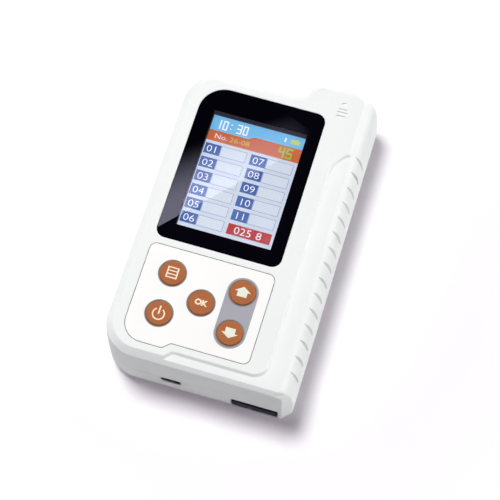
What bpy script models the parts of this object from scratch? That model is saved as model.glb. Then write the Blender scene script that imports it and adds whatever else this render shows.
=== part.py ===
# Handheld urine analyzer: a moulded case in two halves with a colour display, five push buttons,
# a motor-driven strip tray and the optics that read the strip on it.
# Metres, +Z up. The strip slot faces -Y. The origin lies under the middle of the case, on the
# surface that its feet stand on.

import math

import bmesh
import bpy
from mathutils import Matrix, Vector

# Case outline, seen from above
CASE_LENGTH = 0.126
CASE_WIDTH = 0.0735
FRONT_LEFT_RADIUS = 0.0135
CORNER_FACET = 0.0034  # legs of the flat cut across the front right corner
BACK_RIGHT_RADIUS = 0.006
BACK_LEFT_RADIUS = 0.012
SHOULDER_X = 0.009  # middle of the step in the far end
SHOULDER_DROP = 0.0084  # how far the left part of the far end lies in front of the right part
SHOULDER_LEAN = 0.003  # how far the step leans
SHOULDER_RADIUS = 0.0055

# Case section
CASE_HEIGHT = 0.030  # from the feet to the top face
FOOT_STAND = 0.001  # how far the feet hold the case up
WALL = 0.002
ROOF = 0.0024
PARTING_HEIGHT = 0.014
WALL_DRAFT = 0.0004
TOP_BEVEL = 0.0026
ROLL_WIDTH = 0.0048  # how far the grip side rolls over towards the top
ROLL_TO_PARTING = 0.002  # how far above the parting line that roll starts
BOTTOM_RADIUS = 0.004
LIP_HEIGHT = 0.0015  # tongue of the rear cover inside the front cover
LIP_THICKNESS = 0.0008
INNER_CHAMFER = 0.0007

# Lowered shelf beside the raised panel, with the ramp between them
SHELF_DROP = 0.001
SHELF_RAMP = 0.00165
RIDGE_TO_SIDE = 0.01175
RIDGE_TO_FRONT = 0.0054
RIDGE_TO_BACK = 0.0253
RIDGE_START_X = -0.0094
RIDGE_START_RADIUS = 0.0015
RIDGE_FRONT_RADIUS = 0.005
RIDGE_BACK_RADIUS = 0.0115

# Grip grooves round the right edge
GROOVE_PITCH = 0.0063
GROOVE_WIDTH = 0.0008
GROOVE_TO_BACK = 0.027
GROOVE_TO_FRONT = 0.0105
GROOVE_ON_TOP = 0.0036  # from the side of the case to where a groove starts on the shelf
GROOVE_REACH = 0.009  # how far a groove runs down the side
GROOVE_DIP = 0.0004  # how far the middle of a groove's floor lies behind the line between its ends

# Clearances
SEAT_GAP = 0.0003  # between pieces that rest on or line each other
BUTTON_GAP = 0.0004  # round a button cap
LENS_GAP = 0.00025  # round the lens and the keypad film
SHAFT_GAP = 0.00005  # round the shaft in its motor

# Display and keypad
PANEL_MARGIN = 0.00725  # from the left side of the case to the lens and the keypad film
LENS_TO_RIDGE = 0.0065
LENS_TO_SHOULDER = 0.0057
LENS_TO_KEYPAD = 0.0027
LENS_THICKNESS = 0.0012
LENS_SINK = 0.0001
LENS_RADIUS = 0.0035
LENS_LEFT_RADIUS = 0.010
WINDOW_LEDGE = 0.0014  # from the side of the display module to the window in the case
DISPLAY_THICKNESS = 0.0033
DISPLAY_TO_LENS_FRONT = 0.0042
DISPLAY_TO_LENS_BACK = 0.0006
DISPLAY_SIDE_LAP = 0.003  # how far the module stays inside the lens at each side
GASKET_THICKNESS = 0.0007
KEYPAD_TO_FRONT = 0.0056
KEYPAD_LENGTH = 0.0385
KEYPAD_STEP = 0.0025  # how far the right part of its front edge steps back
KEYPAD_STEP_LEFT = 0.0039  # from the start of the ridge to the two ends of that step
KEYPAD_STEP_RIGHT = 0.0012
KEYPAD_RADIUS = 0.0025
KEYPAD_LEFT_RADIUS = 0.0076
KEYPAD_THICKNESS = 0.0003

# Buttons and switches
BUTTON_DIAMETER = 0.0098
BUTTON_RISE = 0.0005
BUTTON_DOME = 0.0003
BUTTON_TRAVEL = 0.0006
BUTTON_FLANGE = 0.0008  # flange radius beyond the hole
BUTTON_FLANGE_HEIGHT = 0.0009
BUTTON_STEM = 0.0003
BUTTON_STEM_DIAMETER = 0.003
BUTTON_COLUMN_LEFT = 0.01125
BUTTON_COLUMN_RIGHT = 0.010
BUTTON_ROW_BACK = 0.010
BUTTON_ROW_PITCH = 0.0161
SWITCH_SIZE = 0.006
SWITCH_PLUNGER_HEIGHT = 0.0005
SWITCH_PLUNGER_DIAMETER = 0.0034
PRESS_MARGIN = 0.0001

# Boards
BOARD_THICKNESS = 0.0016
BOARD_RADIUS = 0.001
BOARD_SCREW_DIAMETER = 0.0016
BOARD_SCREW_HEAD = 0.0032
BOARD_SCREW_HEAD_HEIGHT = 0.001
BOARD_SCREW_LENGTH = 0.004
POST_DIAMETER = 0.0036
POST_FROM_COLUMN = 0.0065  # front board posts, from the buttons' columns and front row
POST_FROM_ROW = 0.0052
POST_FROM_EDGE = 0.0035  # main board posts, from the board's sides and the battery's ends
POST_FROM_BATTERY = 0.0035
MAIN_BOARD_HEIGHT = 0.0087
MAIN_BOARD_MARGIN = 0.01025
MAIN_BOARD_TO_FRONT = 0.0045
MAIN_BOARD_TO_SHOULDER = 0.0206

# Housing screws and feet
SCREW_DIAMETER = 0.0022
SCREW_HEAD = 0.0044
SCREW_HEAD_HEIGHT = 0.0015
SCREW_SINK = 0.001
SCREW_GRIP = 0.006  # how far a screw reaches into the front cover
SCREW_FRONT_LEFT_X = 0.0066  # from the left side
SCREW_FRONT_LEFT_Y = 0.012  # from the front end
SCREW_MIDDLE_Y = 0.0074
SCREW_TO_SLOT = 0.0055
SCREW_BACK_RIGHT = 0.0063
SCREW_BACK_LEFT_X = 0.007
SCREW_BACK_LEFT_Y = 0.0082  # from the shoulder
BOSS_DIAMETER = 0.0056
BOSS_WALL_REAR = 0.0008  # rear boss wall round the screw head
FOOT_DIAMETER = 0.008
FOOT_POCKET = 0.0006
FOOT_FROM_SIDE = 0.01075
FOOT_FROM_END = 0.023

# Strip tray and its slot
SLOT_TO_SIDE = 0.00475
SLOT_WIDTH = 0.018
SLOT_BOTTOM = 0.004
SLOT_HEIGHT = 0.0075
SLOT_RADIUS = 0.0008
TRAY_HEIGHT = 0.0035
TRAY_TAIL = 0.003  # what of the tray lies behind its last place at the pinion
TRAY_INSET = 0.0004  # how far its face lies behind the end wall's face
TRAY_FACE = 0.0018
TRAY_NARROWING = 0.0021  # step from the face to the bar, on the rack's side
TRAY_EDGE_RADIUS = 0.0008
CHANNEL_WIDTH = 0.0056
CHANNEL_DEPTH = 0.0012
CHANNEL_TO_FACE = 0.004
NOTCH_WIDTH = 0.0016
NOTCH_HEIGHT = 0.0012
TRAY_TRAVEL = 0.055
TRAY_RAIL_WIDTH = 0.0015

# Drive
GEAR_MODULE = 0.0007
PINION_TEETH = 14
PRESSURE_ANGLE = math.radians(20)
RACK_ADDENDUM = 0.00055
TIP_CLEARANCE = 0.00025
BACKLASH = 0.00012
MESH_GAP = 0.0001
RACK_START = 0.0134  # from the tray's face to its first tooth
PINION_FROM_FACE = 0.0226
PINION_HEIGHT = 0.0034
SHAFT_DIAMETER = 0.0015
SHAFT_INTO_MOTOR = 0.003
MOTOR_DIAMETER = 0.010
MOTOR_HEAD_ROOM = 0.0014  # from the motor to the board over it

# Guide and optics
GUIDE_THICKNESS = 0.0015
GUIDE_HEAD_ROOM = 0.0011  # from the tray to the guide's roof
GUIDE_TO_FRONT = 0.012
GUIDE_LENGTH = 0.073
THROAT_TO_FRONT = 0.0045  # hood of the guide behind the strip slot
THROAT_WALL = 0.0008
OPTICS_LENGTH = 0.020
OPTICS_MARGIN = 0.0022
OPTICS_TO_PINION = 0.003
OPTICS_OVERLAP = 0.001
SENSOR_BOARD_THICKNESS = 0.0012
APERTURE_DIAMETER = 0.003
APERTURE_DEPTH = 0.004
APERTURE_PITCH = 0.008

# Socket, battery, sounder, ribbon
USB_X = -0.0089
USB_WIDTH = 0.0074
USB_HEIGHT = 0.0025
USB_DEPTH = 0.0052
USB_SHELL = 0.0004
USB_INSET = 0.0008
USB_TONGUE = 0.0006
BATTERY_THICKNESS = 0.005
BATTERY_MARGIN = 0.0035
BATTERY_TO_FRONT = 0.041
BATTERY_TO_SHOULDER = 0.0266
BATTERY_TO_GUIDE = 0.0033
BUZZER_DIAMETER = 0.009
BUZZER_HEIGHT = 0.0045
BUZZER_FROM_SIDE = 0.01425
BUZZER_FROM_BACK = 0.011
RIBBON_TO_POST = 0.0025
RIBBON_THICKNESS = 0.0003
RIBBON_RUN = 0.008

# Fineness of round forms
CORNER_STEPS = 8
SMALL_CORNER_STEPS = 3
TURN_STEPS = 24
HOLE_STEPS = 16
FLANK_STEPS = 3
ROLL_STEPS = 3
GROOVE_STEPS = 4
TINY = 0.000001
SHARPEST = 0.0002  # least radius of a rounded corner
SMOOTH_ANGLE = math.radians(35)
BEVEL_ANGLE = math.radians(50)

# Places worked out from the sizes above
LEFT = -CASE_WIDTH / 2
RIGHT = CASE_WIDTH / 2
FRONT = -CASE_LENGTH / 2
BACK = CASE_LENGTH / 2
SHOULDER = BACK - SHOULDER_DROP
UNDERSIDE = FOOT_STAND
FLOOR = UNDERSIDE + WALL
ROOF_UNDER = CASE_HEIGHT - ROOF
SHELF = CASE_HEIGHT - SHELF_DROP
BEVEL_FOOT = CASE_HEIGHT - TOP_BEVEL
REAR_RIM = PARTING_HEIGHT - SEAT_GAP
ROLL_FOOT = PARTING_HEIGHT + ROLL_TO_PARTING

RIDGE_X = RIGHT - RIDGE_TO_SIDE
PANEL_LEFT = LEFT + PANEL_MARGIN
PANEL_RIGHT = RIDGE_X - LENS_TO_RIDGE
KEYPAD_FRONT = FRONT + KEYPAD_TO_FRONT
KEYPAD_BACK = KEYPAD_FRONT + KEYPAD_LENGTH
LENS_FRONT = KEYPAD_BACK + LENS_TO_KEYPAD
LENS_BACK = SHOULDER - LENS_TO_SHOULDER
LENS_TOP = CASE_HEIGHT - LENS_SINK
LENS_UNDER = LENS_TOP - LENS_THICKNESS
KEYPAD_UNDER = CASE_HEIGHT - KEYPAD_THICKNESS

GASKET_TOP = ROOF_UNDER - SEAT_GAP
DISPLAY_TOP = GASKET_TOP - GASKET_THICKNESS - SEAT_GAP
DISPLAY_UNDER = DISPLAY_TOP - DISPLAY_THICKNESS
DISPLAY_LEFT = PANEL_LEFT + DISPLAY_SIDE_LAP
DISPLAY_RIGHT = PANEL_RIGHT - DISPLAY_SIDE_LAP + SEAT_GAP
DISPLAY_FRONT = LENS_FRONT + DISPLAY_TO_LENS_FRONT
DISPLAY_BACK = LENS_BACK - DISPLAY_TO_LENS_BACK
FRONT_BOARD_TOP = DISPLAY_UNDER - SEAT_GAP
FRONT_BOARD_UNDER = FRONT_BOARD_TOP - BOARD_THICKNESS

BUTTON_RADIUS = BUTTON_DIAMETER / 2
BUTTON_HOLE = BUTTON_RADIUS + BUTTON_GAP
FLANGE_RADIUS = BUTTON_HOLE + BUTTON_FLANGE
FLANGE_TOP = ROOF_UNDER - SEAT_GAP
FLANGE_UNDER = FLANGE_TOP - BUTTON_FLANGE_HEIGHT
STEM_UNDER = FLANGE_UNDER - BUTTON_STEM
SWITCH_UNDER = FRONT_BOARD_TOP + SEAT_GAP
PLUNGER_TOP = STEM_UNDER - BUTTON_TRAVEL - PRESS_MARGIN
SWITCH_TOP = PLUNGER_TOP - SWITCH_PLUNGER_HEIGHT
COLUMN_LEFT = PANEL_LEFT + BUTTON_COLUMN_LEFT
COLUMN_RIGHT = PANEL_RIGHT - BUTTON_COLUMN_RIGHT
ROW_BACK = KEYPAD_BACK - BUTTON_ROW_BACK
ROW_FRONT = ROW_BACK - BUTTON_ROW_PITCH
BUTTON_PLACES = {
    "menu": (COLUMN_LEFT, ROW_BACK),
    "ok": ((COLUMN_LEFT + COLUMN_RIGHT) / 2, (ROW_BACK + ROW_FRONT) / 2),
    "power": (COLUMN_LEFT, ROW_FRONT),
    "up": (COLUMN_RIGHT, ROW_BACK),
    "down": (COLUMN_RIGHT, ROW_FRONT),
}

SLOT_RIGHT = RIGHT - SLOT_TO_SIDE
SLOT_LEFT = SLOT_RIGHT - SLOT_WIDTH
TRAY_LEFT = SLOT_LEFT + SEAT_GAP
TRAY_RIGHT = SLOT_RIGHT - SEAT_GAP
TRAY_UNDER = SLOT_BOTTOM + SEAT_GAP
TRAY_TOP = TRAY_UNDER + TRAY_HEIGHT
TRAY_FRONT = FRONT + TRAY_INSET
TRAY_BACK = TRAY_FRONT + PINION_FROM_FACE + TRAY_TRAVEL + TRAY_TAIL
BAR_LEFT = TRAY_LEFT + TRAY_NARROWING

PITCH_RADIUS = GEAR_MODULE * PINION_TEETH / 2
PINION_TIP = PITCH_RADIUS + GEAR_MODULE
PINION_ROOT = PITCH_RADIUS - RACK_ADDENDUM - TIP_CLEARANCE
TOOTH_PITCH = math.pi * GEAR_MODULE
PITCH_LINE = BAR_LEFT - GEAR_MODULE - TIP_CLEARANCE
PINION_X = PITCH_LINE - PITCH_RADIUS - MESH_GAP
PINION_Y = TRAY_FRONT + PINION_FROM_FACE
PINION_UNDER = TRAY_UNDER + SEAT_GAP

GUIDE_UNDER = TRAY_TOP + GUIDE_HEAD_ROOM
GUIDE_TOP = GUIDE_UNDER + GUIDE_THICKNESS
GUIDE_LEFT = PINION_X - PINION_TIP - SEAT_GAP - GUIDE_THICKNESS
GUIDE_RIGHT = TRAY_RIGHT + SEAT_GAP + GUIDE_THICKNESS
GUIDE_FRONT = FRONT + GUIDE_TO_FRONT
GUIDE_BACK = GUIDE_FRONT + GUIDE_LENGTH
THROAT_FRONT = FRONT + THROAT_TO_FRONT
MOTOR_UNDER = GUIDE_TOP + SEAT_GAP
MOTOR_TOP = FRONT_BOARD_UNDER - MOTOR_HEAD_ROOM
SENSOR_BOARD_TOP = MOTOR_TOP
SENSOR_BOARD_UNDER = SENSOR_BOARD_TOP - SENSOR_BOARD_THICKNESS
OPTICS_TOP = SENSOR_BOARD_UNDER - SEAT_GAP
OPTICS_FRONT = PINION_Y + OPTICS_TO_PINION
OPTICS_BACK = OPTICS_FRONT + OPTICS_LENGTH
OPTICS_LEFT = BAR_LEFT + OPTICS_MARGIN
OPTICS_RIGHT = TRAY_RIGHT - OPTICS_MARGIN

MAIN_BOARD_TOP = MAIN_BOARD_HEIGHT + BOARD_THICKNESS
MAIN_BOARD_LEFT = LEFT + MAIN_BOARD_MARGIN
MAIN_BOARD_RIGHT = GUIDE_LEFT - GUIDE_THICKNESS
MAIN_BOARD_FRONT = FRONT + MAIN_BOARD_TO_FRONT
MAIN_BOARD_BACK = SHOULDER - MAIN_BOARD_TO_SHOULDER
BATTERY_LEFT = LEFT + BATTERY_MARGIN
BATTERY_RIGHT = GUIDE_LEFT - BATTERY_TO_GUIDE
BATTERY_FRONT = FRONT + BATTERY_TO_FRONT
BATTERY_BACK = SHOULDER - BATTERY_TO_SHOULDER

BOSS_RADIUS = BOSS_DIAMETER / 2
REAR_BOSS_RADIUS = SCREW_HEAD / 2 + SEAT_GAP + BOSS_WALL_REAR
POST_RADIUS = POST_DIAMETER / 2
SCREW_PLACES = [
    (LEFT + SCREW_FRONT_LEFT_X, FRONT + SCREW_FRONT_LEFT_Y),
    (SLOT_LEFT - SCREW_TO_SLOT, FRONT + SCREW_MIDDLE_Y),
    (RIGHT - SCREW_BACK_RIGHT, BACK - SCREW_BACK_RIGHT),
    (LEFT + SCREW_BACK_LEFT_X, SHOULDER - SCREW_BACK_LEFT_Y),
]
FRONT_BOARD_POSTS = [
    (x, y)
    for x in (COLUMN_LEFT - POST_FROM_COLUMN, COLUMN_RIGHT + POST_FROM_COLUMN)
    for y in (ROW_FRONT - POST_FROM_ROW, (ROW_BACK + FLANGE_RADIUS + DISPLAY_FRONT) / 2)
]
MAIN_BOARD_POSTS = [
    (x, y)
    for x in (MAIN_BOARD_LEFT + POST_FROM_EDGE, MAIN_BOARD_RIGHT - POST_FROM_EDGE)
    for y in (BATTERY_FRONT - POST_FROM_BATTERY, BATTERY_BACK + POST_FROM_BATTERY)
]


def clear_scene():
    for thing in list(bpy.data.objects):
        bpy.data.objects.remove(thing, do_unlink=True)


def new_collection(name):
    collection = bpy.data.collections.new(name)
    bpy.context.scene.collection.children.link(collection)
    return collection


def finish(name, colour, roughness, metallic=0.0):
    """A Principled material of one colour, given as red, green and blue from 0 to 1."""
    material = bpy.data.materials.new(name)
    material.use_nodes = True
    shader = material.node_tree.nodes["Principled BSDF"]
    shader.inputs["Base Color"].default_value = (*colour, 1.0)
    shader.inputs["Roughness"].default_value = roughness
    shader.inputs["Metallic"].default_value = metallic
    return material


def rounded_outline(corners, inset=0.0, steps=SMALL_CORNER_STEPS):
    """A closed outline, counter-clockwise, through (x, y, radius) corners, moved in by inset.

    The inset is one length, or one for each edge, starting with the edge after the first corner.
    A corner of radius 0 stays one point. An inward corner's radius grows with the inset.
    """
    points = []
    count = len(corners)
    insets = list(inset) if isinstance(inset, (list, tuple)) else [inset] * count
    for index, (x, y, radius) in enumerate(corners):
        inset_in = insets[index - 1]
        inset_out = insets[index]
        before = Vector(corners[index - 1][:2])
        here = Vector((x, y))
        after = Vector(corners[(index + 1) % count][:2])
        way_in = (here - before).normalized()
        way_out = (after - here).normalized()
        left_in = Vector((-way_in.y, way_in.x))
        left_out = Vector((-way_out.y, way_out.x))
        along = left_in.dot(left_out)
        move_in = (inset_in - along * inset_out) / (1 - along**2)
        move_out = (inset_out - along * inset_in) / (1 - along**2)
        corner = here + left_in * move_in + left_out * move_out
        if radius == 0:
            points.append(corner)
            continue
        turn = math.atan2(way_in.cross(way_out), way_in.dot(way_out))
        side = 1 if turn > 0 else -1
        bend = max(radius - side * (inset_in + inset_out) / 2, SHARPEST)
        start = corner - way_in * bend * math.tan(abs(turn) / 2)
        centre = start + left_in * side * bend
        for step in range(steps + 1):
            points.append(centre + Matrix.Rotation(turn * step / steps, 2) @ (start - centre))
    return [(point.x, point.y) for point in points]


def rectangle(left, right, front, back, radius=0.0):
    """Corners of a rectangle, for rounded_outline."""
    return [(left, front, radius), (right, front, radius), (right, back, radius), (left, back, radius)]


def circle(x, y, radius, steps=HOLE_STEPS):
    turns = [2 * math.pi * step / steps for step in range(steps)]
    return [(x + radius * math.cos(turn), y + radius * math.sin(turn)) for turn in turns]


def add_stack(bm, sections):
    """Adds a closed solid through a stack of outlines of equal count: (height, points) each."""
    height, points = sections[0]
    face = bm.faces.new([bm.verts.new((x, y, height)) for x, y in points])
    for index, (height, points) in enumerate(sections[1:]):
        below = face
        raised = bmesh.ops.extrude_face_region(bm, geom=[below])["geom"]
        face = next(part for part in raised if isinstance(part, bmesh.types.BMFace))
        for vert, (x, y) in zip(face.verts, points):
            vert.co = (x, y, height)
        if index > 0:
            bmesh.ops.delete(bm, geom=[below], context="FACES_ONLY")


def add_prism(bm, points, low, high):
    add_stack(bm, [(low, points), (high, points)])


def add_box(bm, left, right, front, back, low, high):
    add_prism(bm, rounded_outline(rectangle(left, right, front, back)), low, high)


def add_cylinder(bm, x, y, radius, low, high, steps=HOLE_STEPS):
    middle = Matrix.Translation((x, y, (low + high) / 2))
    bmesh.ops.create_cone(
        bm,
        cap_ends=True,
        segments=steps,
        radius1=radius,
        radius2=radius,
        depth=high - low,
        matrix=middle,
    )


def object_of(name, bm, collection, material=None):
    bmesh.ops.recalc_face_normals(bm, faces=bm.faces[:])
    mesh = bpy.data.meshes.new(name)
    bm.to_mesh(mesh)
    bm.free()
    thing = bpy.data.objects.new(name, mesh)
    collection.objects.link(thing)
    if material:
        mesh.materials.append(material)
    return thing


def piece(name, bm, material):
    return object_of(name, bm, PARTS, material)


def cutter(name, bm):
    helper = object_of(name, bm, CUTTERS)
    helper.hide_render = True
    helper.display_type = "WIRE"
    return helper


def change(thing, helper, operation):
    modifier = thing.modifiers.new(helper.name, "BOOLEAN")
    modifier.operation = operation
    modifier.solver = "EXACT"
    modifier.object = helper


def cut(thing, helper):
    change(thing, helper, "DIFFERENCE")


def join(thing, helper):
    change(thing, helper, "UNION")


def shade(thing):
    thing.data.shade_smooth()
    thing.data.set_sharp_from_angle(angle=SMOOTH_ANGLE)


def turned(name, profile, material, steps=TURN_STEPS):
    """A turned solid from (radius, height) points, from the top of the axis to its foot."""
    mesh = bpy.data.meshes.new(name)
    verts = [(radius, 0, height) for radius, height in profile]
    mesh.from_pydata(verts, [(index, index + 1) for index in range(len(verts) - 1)], [])
    mesh.materials.append(material)
    thing = bpy.data.objects.new(name, mesh)
    PARTS.objects.link(thing)
    screw = thing.modifiers.new("turn", "SCREW")
    screw.steps = steps
    screw.render_steps = steps
    screw.use_merge_vertices = True
    screw.merge_threshold = 0.00001
    screw.use_smooth_shade = True
    return thing


def copies(first, names_and_places, height):
    """Gives the finished solid of one object to several, and removes that object."""
    graph = bpy.context.evaluated_depsgraph_get()
    mesh = bpy.data.meshes.new_from_object(first.evaluated_get(graph))
    mesh.name = first.name
    bpy.data.objects.remove(first)
    for name, (x, y) in names_and_places:
        thing = bpy.data.objects.new(name, mesh)
        thing.location = (x, y, height)
        PARTS.objects.link(thing)
        shade(thing)


def bevelled(thing, width, segments=1):
    bevel = thing.modifiers.new("edges", "BEVEL")
    bevel.width = width
    bevel.segments = segments
    bevel.limit_method = "ANGLE"
    bevel.angle_limit = BEVEL_ANGLE


def case_outline(inset, side_inset=None):
    """The case moved in by inset, and on the grip side by side_inset where that is given.

    Between an inset and another side inset, the corner facet keeps its legs.
    """
    lean = SHOULDER_LEAN / 2
    corners = [
        (LEFT, FRONT, FRONT_LEFT_RADIUS),
        (RIGHT - CORNER_FACET, FRONT, 0),
        (RIGHT, FRONT + CORNER_FACET, 0),
        (RIGHT, BACK, BACK_RIGHT_RADIUS),
        (SHOULDER_X + lean, BACK, SHOULDER_RADIUS),
        (SHOULDER_X - lean, SHOULDER, SHOULDER_RADIUS),
        (LEFT, SHOULDER, BACK_LEFT_RADIUS),
    ]
    if side_inset is None:
        return rounded_outline(corners, inset, CORNER_STEPS)
    facet_inset = (inset + side_inset) / math.sqrt(2)
    insets = [inset, facet_inset, side_inset, inset, inset, inset, inset]
    return rounded_outline(corners, insets, CORNER_STEPS)


def case_stack(levels):
    """Sections of the case from (height, inset) or (height, inset, side inset), bottom to top."""
    return [(height, case_outline(*insets)) for height, *insets in levels]


def side_roll(height):
    """How far the roll of the grip side stands in at a height. It ends level, on the shelf."""
    share = min(max(height - ROLL_FOOT, 0) / (SHELF - ROLL_FOOT), 1)
    return ROLL_WIDTH * (1 - math.sqrt(1 - share**2)) + max(height - SHELF, 0)


def roll_heights():
    """Heights from the foot of the roll to the top, one of them the foot of the bevel."""
    rise = SHELF - ROLL_FOOT
    middle = math.asin((BEVEL_FOOT - ROLL_FOOT) / rise)
    turns = [middle * step / ROLL_STEPS for step in range(ROLL_STEPS)]
    turns += [middle + (math.pi / 2 - middle) * step / ROLL_STEPS for step in range(ROLL_STEPS + 1)]
    return [ROLL_FOOT + rise * math.sin(turn) for turn in turns] + [CASE_HEIGHT]


def cover_level(height):
    """The front cover's outer surface: height, inset, and inset on the grip side."""
    draft = WALL_DRAFT * min((height - PARTING_HEIGHT) / (BEVEL_FOOT - PARTING_HEIGHT), 1)
    bevel = max(height - BEVEL_FOOT, 0)
    return height, draft + bevel, draft + side_roll(height)


def ridge_outline(inset):
    """The region of the lowered shelf, run out past the case at the front and right."""
    beyond = CASE_WIDTH
    ridge_front = FRONT + RIDGE_TO_FRONT
    ridge_back = BACK - RIDGE_TO_BACK
    corners = [
        (RIDGE_START_X - beyond, ridge_front - beyond, 0),
        (RIGHT + beyond, ridge_front - beyond, 0),
        (RIGHT + beyond, ridge_back, 0),
        (RIDGE_X, ridge_back, RIDGE_BACK_RADIUS),
        (RIDGE_X, ridge_front, RIDGE_FRONT_RADIUS),
        (RIDGE_START_X, ridge_front, RIDGE_START_RADIUS),
    ]
    return rounded_outline(corners, inset, CORNER_STEPS)


def lens_outline(inset):
    corners = [
        (PANEL_LEFT, LENS_FRONT, LENS_RADIUS),
        (PANEL_RIGHT, LENS_FRONT, LENS_RADIUS),
        (PANEL_RIGHT, LENS_BACK, LENS_RADIUS),
        (PANEL_LEFT, LENS_BACK, LENS_LEFT_RADIUS),
    ]
    return rounded_outline(corners, inset, CORNER_STEPS)


def keypad_outline(inset):
    """The film's outline: its front edge steps back where the ridge starts."""
    step_back = KEYPAD_FRONT + KEYPAD_STEP
    corners = [
        (PANEL_LEFT, KEYPAD_FRONT, KEYPAD_LEFT_RADIUS),
        (RIDGE_START_X - KEYPAD_STEP_LEFT, KEYPAD_FRONT, RIDGE_START_RADIUS),
        (RIDGE_START_X - KEYPAD_STEP_RIGHT, step_back, RIDGE_START_RADIUS),
        (PANEL_RIGHT, step_back, KEYPAD_RADIUS),
        (PANEL_RIGHT, KEYPAD_BACK, KEYPAD_RADIUS),
        (PANEL_LEFT, KEYPAD_BACK, KEYPAD_RADIUS),
    ]
    return rounded_outline(corners, inset, CORNER_STEPS)


def window_outline(inset=0.0):
    """The opening under the lens, through which the display is seen."""
    corners = rectangle(DISPLAY_LEFT, DISPLAY_RIGHT, DISPLAY_FRONT, DISPLAY_BACK, WINDOW_LEDGE)
    return rounded_outline(corners, WINDOW_LEDGE + inset)


def add_grooves(bm):
    """Wedges whose inner side is the floor of each groove, which dips a little in the middle."""
    start = Vector((RIGHT - GROOVE_ON_TOP, SHELF))
    end = Vector((RIGHT - WALL_DRAFT, SHELF - GROOVE_REACH))
    along = end - start
    outward = Vector((-along.y, along.x)).normalized()
    floor = []
    for step in range(GROOVE_STEPS + 1):
        share = step / GROOVE_STEPS
        floor.append(start + along * share - outward * 4 * GROOVE_DIP * share * (1 - share))
    corner = Vector((RIGHT + SHELF_DROP, CASE_HEIGHT + SHELF_DROP))
    above = Vector((start.x, corner.y))
    beside = Vector((corner.x, end.y))
    section = floor + [beside, corner, above]
    run = CASE_LENGTH - GROOVE_TO_BACK - GROOVE_TO_FRONT
    for index in range(int(run / GROOVE_PITCH) + 1):
        y = BACK - GROOVE_TO_BACK - index * GROOVE_PITCH
        face = bm_face(bm, [(point.x, y - GROOVE_WIDTH / 2, point.y) for point in section])
        raised = bmesh.ops.extrude_face_region(bm, geom=[face])["geom"]
        moved = [part for part in raised if isinstance(part, bmesh.types.BMVert)]
        bmesh.ops.translate(bm, verts=moved, vec=(0, GROOVE_WIDTH, 0))


def make_front_cover():
    shell = bmesh.new()
    levels = [cover_level(height) for height in [PARTING_HEIGHT] + roll_heights()]
    add_stack(shell, case_stack(levels))
    cover = piece("front_cover", shell, finish("white moulding", (0.88, 0.88, 0.87), 0.45))

    hollow = bmesh.new()
    rebate = WALL - LIP_THICKNESS - SEAT_GAP
    rebate_top = PARTING_HEIGHT + LIP_HEIGHT + SEAT_GAP
    chamfer = TOP_BEVEL - WALL / 2
    chamfer_foot = ROOF_UNDER - chamfer
    levels = [
        (PARTING_HEIGHT - WALL, rebate),
        (rebate_top, rebate),
        (rebate_top, WALL),
        (ROLL_FOOT, WALL + WALL_DRAFT / 2),
        (chamfer_foot, WALL + WALL_DRAFT, WALL + side_roll(chamfer_foot + WALL)),
        (ROOF_UNDER, WALL + WALL_DRAFT + chamfer, WALL + side_roll(CASE_HEIGHT)),
    ]
    add_stack(hollow, case_stack(levels))
    cut(cover, cutter("front_cover_hollow", hollow))

    bosses = bmesh.new()
    for x, y in SCREW_PLACES:
        add_cylinder(bosses, x, y, BOSS_RADIUS, PARTING_HEIGHT, ROOF_UNDER + SEAT_GAP)
    for x, y in FRONT_BOARD_POSTS:
        low = FRONT_BOARD_TOP + SEAT_GAP
        add_cylinder(bosses, x, y, POST_RADIUS, low, ROOF_UNDER + SEAT_GAP)
    join(cover, cutter("front_cover_bosses", bosses))

    recesses = bmesh.new()
    above = CASE_HEIGHT + SHELF_DROP
    add_prism(recesses, lens_outline(0), LENS_UNDER - SEAT_GAP, above)
    add_prism(recesses, keypad_outline(0), KEYPAD_UNDER - SEAT_GAP, above)
    cut(cover, cutter("lens_and_keypad_recesses", recesses))

    holes = bmesh.new()
    below = ROOF_UNDER - SEAT_GAP
    add_prism(holes, window_outline(), below, LENS_UNDER)
    for x, y in BUTTON_PLACES.values():
        add_cylinder(holes, x, y, BUTTON_HOLE, below, above, TURN_STEPS)
    for x, y in SCREW_PLACES:
        bore = SCREW_DIAMETER / 2 + SEAT_GAP
        top = PARTING_HEIGHT + SCREW_GRIP + SEAT_GAP
        add_cylinder(holes, x, y, bore, PARTING_HEIGHT - SEAT_GAP, top)
    for x, y in FRONT_BOARD_POSTS:
        bore = BOARD_SCREW_DIAMETER / 2 + SEAT_GAP
        top = FRONT_BOARD_UNDER + BOARD_SCREW_LENGTH
        add_cylinder(holes, x, y, bore, FRONT_BOARD_TOP, top, HOLE_STEPS // 2)
    cut(cover, cutter("front_cover_holes", holes))

    shelf = bmesh.new()
    slope = SHELF_RAMP / SHELF_DROP
    sections = [
        (SHELF, ridge_outline(SHELF_RAMP)),
        (above, ridge_outline(SHELF_RAMP - slope * (above - SHELF))),
    ]
    add_stack(shelf, sections)
    cut(cover, cutter("shelf", shelf))

    grooves = bmesh.new()
    add_grooves(grooves)
    cut(cover, cutter("grip_grooves", grooves))


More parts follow.
